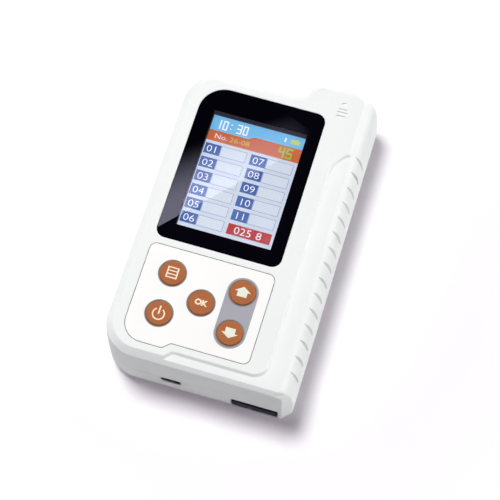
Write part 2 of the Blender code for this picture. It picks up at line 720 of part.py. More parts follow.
def make_rear_cover():
    shell = bmesh.new()
    levels = []
    for step in range(SMALL_CORNER_STEPS + 1):
        turn = math.pi / 2 * (1 - step / SMALL_CORNER_STEPS)
        height = UNDERSIDE + BOTTOM_RADIUS * (1 - math.cos(math.pi / 2 - turn))
        levels.append((height, BOTTOM_RADIUS * (1 - math.cos(turn)) + WALL_DRAFT / 2))
    levels += [
        (REAR_RIM, 0),
        (REAR_RIM, WALL - LIP_THICKNESS),
        (PARTING_HEIGHT + LIP_HEIGHT, WALL - LIP_THICKNESS),
    ]
    add_stack(shell, case_stack(levels))
    cover = piece("rear_cover", shell, finish("white moulding, rear", (0.86, 0.86, 0.85), 0.45))

    hollow = bmesh.new()
    levels = [
        (FLOOR, WALL + INNER_CHAMFER),
        (FLOOR + INNER_CHAMFER, WALL + WALL_DRAFT / 2),
        (PARTING_HEIGHT + LIP_HEIGHT + WALL, WALL),
    ]
    add_stack(hollow, case_stack(levels))
    cut(cover, cutter("rear_cover_hollow", hollow))

    bosses = bmesh.new()
    for x, y in SCREW_PLACES:
        add_cylinder(bosses, x, y, REAR_BOSS_RADIUS, FLOOR - SEAT_GAP, REAR_RIM)
    for x, y in MAIN_BOARD_POSTS:
        add_cylinder(bosses, x, y, POST_RADIUS, FLOOR - SEAT_GAP, MAIN_BOARD_HEIGHT - SEAT_GAP)
    rail_front = FRONT + WALL + INNER_CHAMFER
    for x in (BAR_LEFT + TRAY_RAIL_WIDTH, TRAY_RIGHT - 2 * TRAY_RAIL_WIDTH):
        right = x + TRAY_RAIL_WIDTH
        add_box(bosses, x, right, rail_front, TRAY_BACK, FLOOR - SEAT_GAP, SLOT_BOTTOM)
    join(cover, cutter("rear_cover_bosses", bosses))

    holes = bmesh.new()
    head_seat = UNDERSIDE + SCREW_SINK + SCREW_HEAD_HEIGHT + SEAT_GAP
    head_bore = SCREW_HEAD / 2 + SEAT_GAP
    shank_bore = SCREW_DIAMETER / 2 + SEAT_GAP
    for x, y in SCREW_PLACES:
        sections = [
            (UNDERSIDE - WALL, circle(x, y, head_bore)),
            (head_seat, circle(x, y, head_bore)),
            (head_seat, circle(x, y, shank_bore)),
            (PARTING_HEIGHT, circle(x, y, shank_bore)),
        ]
        add_stack(holes, sections)
    for x, y in MAIN_BOARD_POSTS:
        bore = BOARD_SCREW_DIAMETER / 2 + SEAT_GAP
        low = MAIN_BOARD_TOP - BOARD_SCREW_LENGTH
        add_cylinder(holes, x, y, bore, low, MAIN_BOARD_HEIGHT, HOLE_STEPS // 2)
    for x, y in foot_places():
        pocket = FOOT_DIAMETER / 2 + SEAT_GAP
        add_cylinder(holes, x, y, pocket, UNDERSIDE - WALL, UNDERSIDE + FOOT_POCKET)
    cut(cover, cutter("rear_cover_holes", holes))

    slots = bmesh.new()
    slot = rectangle(SLOT_LEFT, SLOT_RIGHT, SLOT_BOTTOM, SLOT_BOTTOM + SLOT_HEIGHT, SLOT_RADIUS)
    add_prism(slots, rounded_outline(slot), -FRONT - 2 * WALL, -FRONT + WALL)
    add_prism(slots, usb_outline(-SEAT_GAP), -FRONT - 2 * WALL, -FRONT + WALL)
    ends = cutter("strip_slot_and_socket_opening", slots)
    ends.rotation_euler.x = math.pi / 2
    cut(cover, ends)


def foot_places():
    x = FOOT_FROM_SIDE
    y = FOOT_FROM_END
    return [(LEFT + x, FRONT + y), (RIGHT - x, FRONT + y), (RIGHT - x, BACK - y), (LEFT + x, BACK - y)]


def make_display():
    lens = bmesh.new()
    add_prism(lens, lens_outline(LENS_GAP), LENS_UNDER, LENS_TOP)
    thing = piece("display_lens", lens, finish("black-bordered glass", (0.01, 0.01, 0.015), 0.05))
    bevelled(thing, LENS_SINK)

    module_edge = rectangle(DISPLAY_LEFT, DISPLAY_RIGHT, DISPLAY_FRONT, DISPLAY_BACK, SEAT_GAP)
    module = bmesh.new()
    recess = DISPLAY_TOP - SEAT_GAP
    outer = rounded_outline(module_edge)
    inner = rounded_outline(module_edge, WINDOW_LEDGE)
    sections = [(DISPLAY_UNDER, outer), (DISPLAY_TOP, outer), (DISPLAY_TOP, inner), (recess, inner)]
    add_stack(module, sections)
    piece("display_module", module, finish("lit panel", (0.35, 0.45, 0.75), 0.3))

    frame = bmesh.new()
    low = GASKET_TOP - GASKET_THICKNESS
    add_prism(frame, rounded_outline(module_edge, SEAT_GAP), low, GASKET_TOP)
    gasket = piece("display_gasket", frame, finish("black foam", (0.03, 0.03, 0.03), 0.9))
    opening = bmesh.new()
    add_prism(opening, window_outline(), low - SEAT_GAP, GASKET_TOP + SEAT_GAP)
    cut(gasket, cutter("gasket_opening", opening))


def make_keypad():
    film = bmesh.new()
    add_prism(film, keypad_outline(LENS_GAP), KEYPAD_UNDER, CASE_HEIGHT)
    overlay = piece("keypad_overlay", film, finish("white film", (0.95, 0.95, 0.95), 0.3))
    holes = bmesh.new()
    for x, y in BUTTON_PLACES.values():
        below = KEYPAD_UNDER - SEAT_GAP
        above = CASE_HEIGHT + SEAT_GAP
        add_cylinder(holes, x, y, BUTTON_HOLE, below, above, TURN_STEPS)
    cut(overlay, cutter("film_holes", holes))

    profile = []
    for step in range(SMALL_CORNER_STEPS + 1):
        share = step / SMALL_CORNER_STEPS
        radius = (BUTTON_RADIUS - BUTTON_DOME) * share
        profile.append((radius, BUTTON_RISE + BUTTON_DOME * (1 - share**2)))
    profile += [
        (BUTTON_RADIUS, BUTTON_RISE - BUTTON_DOME),
        (BUTTON_RADIUS, FLANGE_TOP - CASE_HEIGHT),
        (FLANGE_RADIUS, FLANGE_TOP - CASE_HEIGHT),
        (FLANGE_RADIUS, FLANGE_UNDER - CASE_HEIGHT),
        (BUTTON_STEM_DIAMETER / 2, FLANGE_UNDER - CASE_HEIGHT),
        (BUTTON_STEM_DIAMETER / 2, STEM_UNDER - CASE_HEIGHT),
        (0, STEM_UNDER - CASE_HEIGHT),
    ]
    button = turned("button", profile, finish("orange cap", (0.5, 0.16, 0.05), 0.4))
    places = [(f"{name}_button", place) for name, place in BUTTON_PLACES.items()]
    copies(button, places, CASE_HEIGHT)

    body = bmesh.new()
    half = SWITCH_SIZE / 2
    add_box(body, -half, half, -half, half, 0, SWITCH_TOP - SWITCH_UNDER)
    switch = piece("switch", body, finish("switch metal", (0.55, 0.55, 0.57), 0.35, 0.8))
    plunger = bmesh.new()
    radius = SWITCH_PLUNGER_DIAMETER / 2
    add_cylinder(plunger, 0, 0, radius, SEAT_GAP, PLUNGER_TOP - SWITCH_UNDER, HOLE_STEPS)
    join(switch, cutter("switch_plunger", plunger))
    places = [(f"{name}_switch", place) for name, place in BUTTON_PLACES.items()]
    copies(switch, places, SWITCH_UNDER)


def make_board(name, corners, low, thickness, screw_places, colour):
    board = bmesh.new()
    add_prism(board, rounded_outline(corners), low, low + thickness)
    thing = piece(name, board, finish(name.replace("_", " "), colour, 0.5))
    if not screw_places:
        return
    holes = bmesh.new()
    for x, y in screw_places:
        radius = BOARD_SCREW_DIAMETER / 2 + SEAT_GAP
        add_cylinder(holes, x, y, radius, low - SEAT_GAP, low + thickness + SEAT_GAP, HOLE_STEPS // 2)
    cut(thing, cutter(name + "_holes", holes))


def make_boards():
    front_edge = min(y for _, y in FRONT_BOARD_POSTS) - POST_RADIUS
    right_edge = max(x for x, _ in FRONT_BOARD_POSTS) + POST_RADIUS
    corners = rectangle(DISPLAY_LEFT, right_edge, front_edge, DISPLAY_BACK, BOARD_RADIUS)
    green = (0.02, 0.16, 0.07)
    make_board("front_board", corners, FRONT_BOARD_UNDER, BOARD_THICKNESS, FRONT_BOARD_POSTS, green)
    corners = rectangle(
        MAIN_BOARD_LEFT, MAIN_BOARD_RIGHT, MAIN_BOARD_FRONT, MAIN_BOARD_BACK, BOARD_RADIUS
    )
    make_board("main_board", corners, MAIN_BOARD_HEIGHT, BOARD_THICKNESS, MAIN_BOARD_POSTS, green)
    corners = rectangle(
        OPTICS_LEFT, OPTICS_RIGHT + SEAT_GAP, OPTICS_FRONT, OPTICS_BACK, BOARD_RADIUS
    )
    make_board("sensor_board", corners, SENSOR_BOARD_UNDER, SENSOR_BOARD_THICKNESS, [], green)

    steel = finish("board screw steel", (0.6, 0.6, 0.62), 0.35, 1.0)
    head = BOARD_SCREW_HEAD / 2
    shank = BOARD_SCREW_DIAMETER / 2
    low = BOARD_SCREW_HEAD_HEIGHT + SEAT_GAP
    profile = [(0, BOARD_SCREW_LENGTH), (shank, BOARD_SCREW_LENGTH - shank), (shank, 0)]
    profile += [(head, 0), (head, -BOARD_SCREW_HEAD_HEIGHT), (0, -BOARD_SCREW_HEAD_HEIGHT)]
    screw = turned("board_screw", profile, steel, HOLE_STEPS // 2)
    places = [(f"front_board_screw_{n + 1}", place) for n, place in enumerate(FRONT_BOARD_POSTS)]
    copies(screw, places, FRONT_BOARD_UNDER - SEAT_GAP)
    screw = turned("board_screw", [(r, -z) for r, z in reversed(profile)], steel, HOLE_STEPS // 2)
    places = [(f"main_board_screw_{n + 1}", place) for n, place in enumerate(MAIN_BOARD_POSTS)]
    copies(screw, places, MAIN_BOARD_TOP + SEAT_GAP)

    ribbon = bmesh.new()
    bend = (FRONT_BOARD_UNDER - MAIN_BOARD_TOP - 2 * SEAT_GAP) / 2
    middle = (FRONT_BOARD_UNDER + MAIN_BOARD_TOP) / 2
    start = BATTERY_BACK - RIBBON_RUN
    outer = ribbon_run(start, middle, bend)
    inner = ribbon_run(start, middle, bend - RIBBON_THICKNESS)
    left = MAIN_BOARD_LEFT + POST_FROM_EDGE + RIBBON_TO_POST
    width = MAIN_BOARD_RIGHT - POST_FROM_EDGE - RIBBON_TO_POST - left
    points = outer + inner[::-1]
    face = bm_face(ribbon, [(left, y, z) for y, z in points])
    raised = bmesh.ops.extrude_face_region(ribbon, geom=[face])["geom"]
    moved = [part for part in raised if isinstance(part, bmesh.types.BMVert)]
    bmesh.ops.translate(ribbon, verts=moved, vec=(width, 0, 0))
    piece("ribbon_cable", ribbon, finish("ribbon", (0.75, 0.75, 0.72), 0.4))


def bm_face(bm, points):
    return bm.faces.new([bm.verts.new(point) for point in points])


def ribbon_run(start, middle, bend):
    """A straight run, a half turn upwards and a straight run back, as (y, z) points."""
    turns = [-math.pi / 2 + math.pi * step / CORNER_STEPS for step in range(CORNER_STEPS + 1)]
    loop = [(start + RIBBON_RUN + bend * math.cos(t), middle + bend * math.sin(t)) for t in turns]
    return [(start, middle - bend)] + loop + [(start, middle + bend)]


def usb_outline(inset):
    """The socket's section in X and Z: narrower at its foot, standing on the main board."""
    low = MAIN_BOARD_TOP + SEAT_GAP
    high = low + USB_HEIGHT
    half = USB_WIDTH / 2
    waist = (low + high) / 2
    foot = half - USB_HEIGHT / 3
    radius = USB_SHELL
    corners = [
        (USB_X - foot, low, radius),
        (USB_X + foot, low, radius),
        (USB_X + half, waist, radius),
        (USB_X + half, high, radius),
        (USB_X - half, high, radius),
        (USB_X - half, waist, radius),
    ]
    return rounded_outline(corners, inset, 2)


def make_usb_connector():
    mouth = -FRONT - USB_INSET
    shell = bmesh.new()
    add_prism(shell, usb_outline(0), mouth - USB_DEPTH, mouth)
    socket = piece("usb_connector", shell, finish("socket steel", (0.6, 0.6, 0.62), 0.3, 1.0))
    socket.rotation_euler.x = math.pi / 2
    hollow = bmesh.new()
    add_prism(hollow, usb_outline(USB_SHELL), mouth - USB_DEPTH + USB_SHELL, mouth + USB_SHELL)
    inside = cutter("socket_hollow", hollow)
    inside.rotation_euler.x = math.pi / 2
    cut(socket, inside)
    tongue = bmesh.new()
    half = USB_WIDTH / 2 - 2 * USB_SHELL - USB_TONGUE
    top = MAIN_BOARD_TOP + SEAT_GAP + USB_HEIGHT - USB_SHELL - USB_TONGUE
    corners = rectangle(USB_X - half, USB_X + half, top - USB_TONGUE, top)
    add_prism(tongue, rounded_outline(corners), mouth - USB_DEPTH + USB_SHELL / 2, mouth - USB_SHELL)
    blade = cutter("socket_tongue", tongue)
    blade.rotation_euler.x = math.pi / 2
    join(socket, blade)


def rack_points():
    """The rack's side of the tray, front to back, as (x, y) points."""
    lean = math.tan(PRESSURE_ANGLE)
    tip = PITCH_LINE - RACK_ADDENDUM
    half_at_pitch = (TOOTH_PITCH / 2 - BACKLASH) / 2
    half_at_tip = half_at_pitch - RACK_ADDENDUM * lean
    half_at_root = half_at_pitch + (BAR_LEFT - PITCH_LINE) * lean
    # A gap of the rack faces the pinion's tooth at rest, so teeth stand half a pitch either side.
    before = int((PINION_FROM_FACE - RACK_START) / TOOTH_PITCH)
    after = int((TRAY_TRAVEL + TRAY_TAIL) / TOOTH_PITCH)
    points = []
    for index in range(-before, after):
        y = PINION_Y + (index + 0.5) * TOOTH_PITCH
        points.append((BAR_LEFT, y - half_at_root))
        points.append((tip, y - half_at_tip))
        points.append((tip, y + half_at_tip))
        points.append((BAR_LEFT, y + half_at_root))
    return points


def make_tray():
    face_back = TRAY_FRONT + TRAY_FACE
    points = [(TRAY_LEFT, face_back), (TRAY_LEFT, TRAY_FRONT), (TRAY_RIGHT, TRAY_FRONT)]
    points += [(TRAY_RIGHT, TRAY_BACK), (BAR_LEFT, TRAY_BACK)]
    points += rack_points()[::-1] + [(BAR_LEFT, face_back)]
    bar = bmesh.new()
    add_prism(bar, points, TRAY_UNDER, TRAY_TOP)
    long_edges = [
        edge
        for edge in bar.edges
        if all(v.co.x > TRAY_RIGHT - TINY and v.co.z > TRAY_TOP - TINY for v in edge.verts)
    ]
    bmesh.ops.bevel(
        bar,
        geom=long_edges,
        offset=TRAY_EDGE_RADIUS,
        segments=SMALL_CORNER_STEPS,
        profile=0.5,
        affect="EDGES",
    )
    tray = piece("strip_tray", bar, finish("charcoal moulding", (0.06, 0.06, 0.08), 0.5))
    channel = bmesh.new()
    middle = (BAR_LEFT + TRAY_RIGHT) / 2
    floor = TRAY_TOP - CHANNEL_DEPTH
    front = TRAY_FRONT + CHANNEL_TO_FACE
    back = TRAY_BACK - CHANNEL_TO_FACE
    half = CHANNEL_WIDTH / 2
    add_box(channel, middle - half, middle + half, front, back, floor, TRAY_TOP + SEAT_GAP)
    notch_left = TRAY_LEFT + SLOT_WIDTH / 3
    notch_top = TRAY_UNDER + NOTCH_HEIGHT
    front = TRAY_FRONT - SEAT_GAP
    below = TRAY_UNDER - SEAT_GAP
    add_box(channel, notch_left, notch_left + NOTCH_WIDTH, front, face_back, below, notch_top)
    cut(tray, cutter("strip_channel_and_notch", channel))


def involute(radius, base):
    """Angle between the start of an involute on its base circle and its point at a radius."""
    if radius <= base:
        return 0.0
    roll = math.sqrt((radius / base) ** 2 - 1)
    return roll - math.atan(roll)


def pinion_outline():
    """One tooth points at +X. The flanks are involutes, radial below the base circle."""
    base = PITCH_RADIUS * math.cos(PRESSURE_ANGLE)
    half_pitch = (math.pi / 2 * GEAR_MODULE - BACKLASH) / 2 / PITCH_RADIUS
    at_base = half_pitch + involute(PITCH_RADIUS, base)
    points = []
    for tooth in range(PINION_TEETH):
        middle = 2 * math.pi * tooth / PINION_TEETH
        flank = [(PINION_ROOT, at_base)]
        for step in range(FLANK_STEPS + 1):
            radius = base + (PINION_TIP - base) * step / FLANK_STEPS
            flank.append((radius, at_base - involute(radius, base)))
        both = [(r, middle - a) for r, a in flank] + [(r, middle + a) for r, a in reversed(flank)]
        points += [(r * math.cos(a), r * math.sin(a)) for r, a in both]
    return points


def make_drive():
    gear = bmesh.new()
    add_prism(gear, pinion_outline(), 0, PINION_HEIGHT)
    pinion = piece("drive_pinion", gear, finish("acetal", (0.8, 0.8, 0.76), 0.4))
    pinion.location = (PINION_X, PINION_Y, PINION_UNDER)
    bore = bmesh.new()
    radius = SHAFT_DIAMETER / 2 + SEAT_GAP
    add_cylinder(bore, PINION_X, PINION_Y, radius, PINION_UNDER - WALL, PINION_UNDER + 2 * PINION_HEIGHT)
    cut(pinion, cutter("pinion_bore", bore))

    steel = finish("shaft steel", (0.6, 0.6, 0.62), 0.25, 1.0)
    shaft_top = MOTOR_UNDER + SHAFT_INTO_MOTOR
    shaft_length = shaft_top - PINION_UNDER
    radius = SHAFT_DIAMETER / 2
    profile = [(0, shaft_length), (radius, shaft_length), (radius, 0), (0, 0)]
    shaft = turned("motor_shaft", profile, steel, HOLE_STEPS // 2)
    shaft.location = (PINION_X, PINION_Y, PINION_UNDER)

    height = MOTOR_TOP - MOTOR_UNDER
    radius = MOTOR_DIAMETER / 2
    bore = SHAFT_DIAMETER / 2 + SHAFT_GAP
    edge = SEAT_GAP
    profile = [(0, height), (radius - edge, height), (radius, height - edge), (radius, 0)]
    profile += [(bore, 0), (bore, SHAFT_INTO_MOTOR + SEAT_GAP), (0, SHAFT_INTO_MOTOR + SEAT_GAP)]
    motor = turned("drive_motor", profile, finish("motor can", (0.6, 0.6, 0.62), 0.3, 1.0))
    motor.location = (PINION_X, PINION_Y, MOTOR_UNDER)


def make_guide_and_optics():
    frame = bmesh.new()
    low = FLOOR + SEAT_GAP
    inner_left = GUIDE_LEFT + GUIDE_THICKNESS
    inner_right = GUIDE_RIGHT - GUIDE_THICKNESS
    section = [
        (GUIDE_LEFT, low),
        (inner_left, low),
        (inner_left, GUIDE_UNDER),
        (inner_right, GUIDE_UNDER),
        (inner_right, low),
        (GUIDE_RIGHT, low),
        (GUIDE_RIGHT, GUIDE_TOP),
        (GUIDE_LEFT, GUIDE_TOP),
    ]
    add_prism(frame, section, -GUIDE_BACK, -GUIDE_FRONT)
    guide = piece("tray_guide", frame, finish("grey moulding", (0.25, 0.25, 0.27), 0.5))
    guide.rotation_euler.x = math.pi / 2

    rail = bmesh.new()
    rail_right = PITCH_LINE - RACK_ADDENDUM - SEAT_GAP
    rail_left = rail_right - GUIDE_THICKNESS
    rail_front = PINION_Y + PINION_TIP + GUIDE_THICKNESS
    add_box(rail, rail_left, rail_right, rail_front, GUIDE_BACK, low, GUIDE_UNDER + SEAT_GAP)
    join(guide, cutter("guide_rail", rail))

    hood = bmesh.new()
    left = SLOT_LEFT - SEAT_GAP
    right = SLOT_RIGHT + SEAT_GAP
    top = SLOT_BOTTOM + SLOT_HEIGHT + SEAT_GAP
    section = [
        (left - THROAT_WALL, low),
        (left, low),
        (left, top),
        (right, top),
        (right, low),
        (right + THROAT_WALL, low),
        (right + THROAT_WALL, top + THROAT_WALL),
        (left - THROAT_WALL, top + THROAT_WALL),
    ]
    add_prism(hood, section, -GUIDE_FRONT - GUIDE_THICKNESS / 2, -THROAT_FRONT)
    throat = cutter("guide_throat", hood)
    throat.rotation_euler.x = math.pi / 2
    join(guide, throat)
    wall = bmesh.new()
    back = GUIDE_FRONT + GUIDE_THICKNESS
    base = GUIDE_UNDER + GUIDE_THICKNESS / 2
    add_box(wall, left - THROAT_WALL, right + THROAT_WALL, GUIDE_FRONT, back, base, top + THROAT_WALL)
    join(guide, cutter("guide_throat_wall", wall))

    holes = bmesh.new()
    add_cylinder(holes, PINION_X, PINION_Y, SHAFT_DIAMETER, GUIDE_UNDER - WALL / 2, GUIDE_TOP + WALL)
    nose = rectangle(
        OPTICS_LEFT + OPTICS_OVERLAP,
        OPTICS_RIGHT - OPTICS_OVERLAP,
        OPTICS_FRONT + OPTICS_OVERLAP,
        OPTICS_BACK - OPTICS_OVERLAP,
        BOARD_RADIUS,
    )
    add_prism(holes, rounded_outline(nose, -SEAT_GAP), GUIDE_UNDER - SEAT_GAP, GUIDE_TOP + SEAT_GAP)
    cut(guide, cutter("guide_openings", holes))

    head = bmesh.new()
    body = rectangle(OPTICS_LEFT, OPTICS_RIGHT, OPTICS_FRONT, OPTICS_BACK, BOARD_RADIUS)
    shoulder = GUIDE_TOP + SEAT_GAP
    sections = [
        (GUIDE_UNDER + SEAT_GAP, rounded_outline(nose)),
        (shoulder, rounded_outline(nose)),
        (shoulder, rounded_outline(body)),
        (OPTICS_TOP, rounded_outline(body)),
    ]
    add_stack(head, sections)
    optics = piece("optical_head", head, finish("black moulding", (0.02, 0.02, 0.02), 0.5))
    apertures = bmesh.new()
    x = (OPTICS_LEFT + OPTICS_RIGHT) / 2
    middle = (OPTICS_FRONT + OPTICS_BACK) / 2
    for y in (middle - APERTURE_PITCH / 2, middle + APERTURE_PITCH / 2):
        top = GUIDE_UNDER + APERTURE_DEPTH
        add_cylinder(apertures, x, y, APERTURE_DIAMETER / 2, GUIDE_UNDER - SEAT_GAP, top)
    cut(optics, cutter("light_apertures", apertures))


def make_battery_and_buzzer():
    pack = bmesh.new()
    low = FLOOR + SEAT_GAP
    top = low + BATTERY_THICKNESS
    add_box(pack, BATTERY_LEFT, BATTERY_RIGHT, BATTERY_FRONT, BATTERY_BACK, low, top)
    battery = piece("battery", pack, finish("pouch foil", (0.6, 0.61, 0.63), 0.3, 0.7))
    bevelled(battery, BATTERY_THICKNESS / 4, 2)

    height = BUZZER_HEIGHT
    radius = BUZZER_DIAMETER / 2
    hole = BUZZER_DIAMETER / 8
    profile = [(0, height - hole), (hole, height - hole), (hole, height), (radius, height)]
    profile += [(radius, 0), (0, 0)]
    buzzer = turned("buzzer", profile, finish("buzzer case", (0.02, 0.02, 0.02), 0.5), HOLE_STEPS)
    top = ROOF_UNDER - SEAT_GAP
    buzzer.location = (RIGHT - BUZZER_FROM_SIDE, BACK - BUZZER_FROM_BACK, top - height)


def make_screws_and_feet():
    head = SCREW_HEAD / 2
    shank = SCREW_DIAMETER / 2
    length = PARTING_HEIGHT + SCREW_GRIP - UNDERSIDE - SCREW_SINK
    profile = [
        (0, length),
        (shank, length - shank),
        (shank, SCREW_HEAD_HEIGHT),
        (head, SCREW_HEAD_HEIGHT),
        (head, 0),
        (0, 0),
    ]
    screw = turned("housing_screw", profile, finish("zinc steel", (0.6, 0.6, 0.62), 0.35, 1.0), HOLE_STEPS)
    recess = bmesh.new()
    arm = head / 2
    half = shank / 4
    depth = SCREW_HEAD_HEIGHT / 2
    add_box(recess, -arm, arm, -half, half, -depth, depth)
    cut(screw, cutter("screw_recess_along", recess))
    recess = bmesh.new()
    add_box(recess, -half, half, -arm, arm, -depth, depth)
    cut(screw, cutter("screw_recess_across", recess))
    places = [(f"housing_screw_{n + 1}", place) for n, place in enumerate(SCREW_PLACES)]
    copies(screw, places, UNDERSIDE + SCREW_SINK)

    radius = FOOT_DIAMETER / 2
    top = UNDERSIDE + FOOT_POCKET - SEAT_GAP
    edge = FOOT_STAND / 4
    profile = [(0, top), (radius, top), (radius, edge), (radius - edge, 0), (0, 0)]
    foot = turned("foot", profile, finish("grey rubber", (0.1, 0.1, 0.1), 0.8), HOLE_STEPS)
    copies(foot, [(f"foot_{n + 1}", place) for n, place in enumerate(foot_places())], 0)


clear_scene()
PARTS = new_collection("urine_analyzer")
CUTTERS = new_collection("cutters")
make_front_cover()
make_rear_cover()
make_display()
make_keypad()
make_boards()
make_usb_connector()
make_tray()
make_drive()
make_guide_and_optics()
make_battery_and_buzzer()
make_screws_and_feet()
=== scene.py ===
# Looks of the handheld urine analyzer: finer case, display, keypad and small parts round the packed
# CAD model, with their materials, a white floor, plain studio light and the photograph's camera.
import math

import bmesh
import bpy
from mathutils import Matrix, Vector


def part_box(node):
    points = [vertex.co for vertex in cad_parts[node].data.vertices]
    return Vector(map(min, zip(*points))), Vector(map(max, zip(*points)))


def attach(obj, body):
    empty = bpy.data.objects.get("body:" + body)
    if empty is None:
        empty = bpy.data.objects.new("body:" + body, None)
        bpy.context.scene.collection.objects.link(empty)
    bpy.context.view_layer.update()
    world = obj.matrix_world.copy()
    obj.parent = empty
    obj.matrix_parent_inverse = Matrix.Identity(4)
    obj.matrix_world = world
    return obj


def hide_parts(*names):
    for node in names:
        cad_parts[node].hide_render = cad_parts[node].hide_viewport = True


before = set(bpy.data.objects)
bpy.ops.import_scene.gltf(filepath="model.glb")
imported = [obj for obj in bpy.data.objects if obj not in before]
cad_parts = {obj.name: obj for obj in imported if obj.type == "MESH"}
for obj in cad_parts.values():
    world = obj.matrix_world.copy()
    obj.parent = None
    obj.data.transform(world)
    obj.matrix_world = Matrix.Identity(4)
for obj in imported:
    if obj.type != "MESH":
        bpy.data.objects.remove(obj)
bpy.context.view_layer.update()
mm = 0.001
past = 1 * mm  # how far a cutter runs out of what it cuts
print("frame loaded")


def hexColour(code):
    channels = [int(code[i:i + 2], 16) / 255 for i in (1, 3, 5)]
    linear = [c / 12.92 if c <= 0.04045 else ((c + 0.055) / 1.055) ** 2.4 for c in channels]
    return (*linear, 1.0)


def addNode(tree, kind, settings=None, links=None):
    # a linked node gives its first output; any other output is named by the caller
    node = tree.nodes.new("ShaderNode" + kind)
    for name, value in (settings or {}).items():
        if isinstance(name, str) and name in node.bl_rna.properties:
            setattr(node, name, value)
        else:
            node.inputs[name].default_value = value
    for name, source in (links or {}).items():
        if isinstance(source, bpy.types.Node):
            source = source.outputs[0]
        tree.links.new(source, node.inputs[name])
    return node


def emptyMaterial(name):
    material = bpy.data.materials.new(name)
    material.use_nodes = True
    material.node_tree.nodes.clear()
    return material, material.node_tree


def addSurface(tree, settings, links):
    shader = addNode(tree, "BsdfPrincipled", settings, links)
    addNode(tree, "OutputMaterial", links={"Surface": shader})


def objectPoint(tree, stretch=(1, 1, 1)):
    place = addNode(tree, "TexCoord")
    return addNode(tree, "Mapping", {"Scale": stretch}, {"Vector": place.outputs["Object"]})


def twoTone(tree, look, pattern):
    mix = addNode(tree, "Mix", {
        "data_type": "RGBA", 6: hexColour(look["colour"]), 7: hexColour(look["shade"]),
    }, {"Factor": pattern})
    return mix.outputs[2]


def colourAndGloss(tree, look, pattern):
    # the links of a surface whose colour and roughness wander together along a pattern
    haze = addNode(tree, "MapRange", {"To Min": look["gloss"][0], "To Max": look["gloss"][1]},
                   {"Value": pattern})
    return {"Base Color": twoTone(tree, look, pattern), "Roughness": haze}


def mouldedPlastic(name, look):
    # injection-moulded plastic: even colour with a faint mottle, hazy gloss and a fine spark-eroded grain,
    # which is under 0.1 mm on real parts and drawn coarser here so that it shows
    material, tree = emptyMaterial(name)
    point = objectPoint(tree)
    mottle = addNode(tree, "TexNoise", {"Scale": 1 / (look["mottle"] * mm), "Detail": 3.0}, {"Vector": point})
    grain = addNode(tree, "TexNoise", {"Scale": 1 / (look["grain"] * mm), "Detail": 2.0}, {"Vector": point})
    relief = addNode(tree, "Bump", {"Strength": look["relief"], "Distance": 0.02 * mm}, {"Height": grain})
    addSurface(tree, {"IOR": look.get("ior", 1.53), "Specular IOR Level": look.get("shine", 0.5)},
               {**colourAndGloss(tree, look, mottle), "Normal": relief})
    return material


def workedMetal(name, look):
    # bare metal: colour and gloss change along fine marks that run in the working direction
    material, tree = emptyMaterial(name)
    marks = addNode(tree, "TexNoise", {"Scale": 1 / (look["marks"] * mm), "Detail": 4.0},
                    {"Vector": objectPoint(tree, look["stretch"])})
    relief = addNode(tree, "Bump", {"Strength": 0.15, "Distance": 0.01 * mm}, {"Height": marks})
    addSurface(tree, {"Metallic": 1.0}, {**colourAndGloss(tree, look, marks), "Normal": relief})
    return material


def movedIn(corners, insets):
    # corners of a closed outline, counter-clockwise, with each edge moved in by its own inset
    moved = []
    for index in range(len(corners)):
        before, here, after = (Vector(corners[(index + step) % len(corners)]) for step in (-1, 0, 1))
        wayIn, wayOut = (here - before).normalized(), (after - here).normalized()
        leftIn, leftOut = Vector((-wayIn.y, wayIn.x)), Vector((-wayOut.y, wayOut.x))
        along = leftIn.dot(leftOut)
        spread = 1 - along ** 2
        byIn = (insets[index - 1] - along * insets[index]) / spread
        byOut = (insets[index] - along * insets[index - 1]) / spread
        moved.append(here + leftIn * byIn + leftOut * byOut)
    return moved


def addRing(bm, height, corners):
    # a level face from (x, y, radius, segments) corners, each rounded by the bevel operator
    known = set(bm.faces)
    verts = [bm.verts.new((x, y, height)) for x, y, radius, segments in corners]
    bm.faces.new(verts)
    places = [Vector(corner[:2]) for corner in corners]
    for index, (x, y, radius, segments) in enumerate(corners):
        if radius > 0:
            wayIn = places[index] - places[index - 1]
            wayOut = places[(index + 1) % len(places)] - places[index]
            bmesh.ops.bevel(bm, geom=[verts[index]], offset=radius * math.tan(wayIn.angle(wayOut) / 2),
                            offset_type="OFFSET", affect="VERTICES", segments=segments, profile=0.5,
                            material=-1, clamp_overlap=False)
    return next(face for face in bm.faces if face not in known)


def joinRings(bm, rings):
    # walls between faces of equal count; the first and the last face stay as ends
    for lower, upper in zip(rings, rings[1:]):
        bmesh.ops.bridge_loops(bm, edges=list(lower.edges) + list(upper.edges))
    bmesh.ops.delete(bm, geom=rings[1:-1], context="FACES_ONLY")


def addStack(bm, levels):
    # a closed solid through level rings: (height, corners) each
    joinRings(bm, [addRing(bm, height, corners) for height, corners in levels])


def stackOf(levels):
    bm = bmesh.new()
    addStack(bm, levels)
    return bm


def arc(steps, start=0.0, end=math.pi / 2):
    # (sine, cosine) at even steps through a turn
    turns = [start + (end - start) * step / steps for step in range(steps + 1)]
    return [(math.sin(turn), math.cos(turn)) for turn in turns]


def softEdge(height, soft, up=1):
    # (height, inset) of a wall's last rings, where its corner with a level face is taken off in two steps
    return [(height - up * soft, 0), (height - up * soft * 0.3, soft * 0.3), (height, soft)]


def rectangle(left, right, front, back, radius, segments=4, inset=0.0):
    # never fully sharp, so that all rings of a stack have the same count
    radius = max(radius - inset, 0.02 * mm)
    return [(left + inset, front + inset, radius, segments), (right - inset, front + inset, radius, segments),
            (right - inset, back - inset, radius, segments), (left + inset, back - inset, radius, segments)]


def roundedCorners(corners, insets, radii, segments):
    # an outline moved in edge by edge, its radii already fitted to that
    moved = movedIn(corners, insets)
    return [(place.x, place.y, radius, segments) for place, radius in zip(moved, radii)]


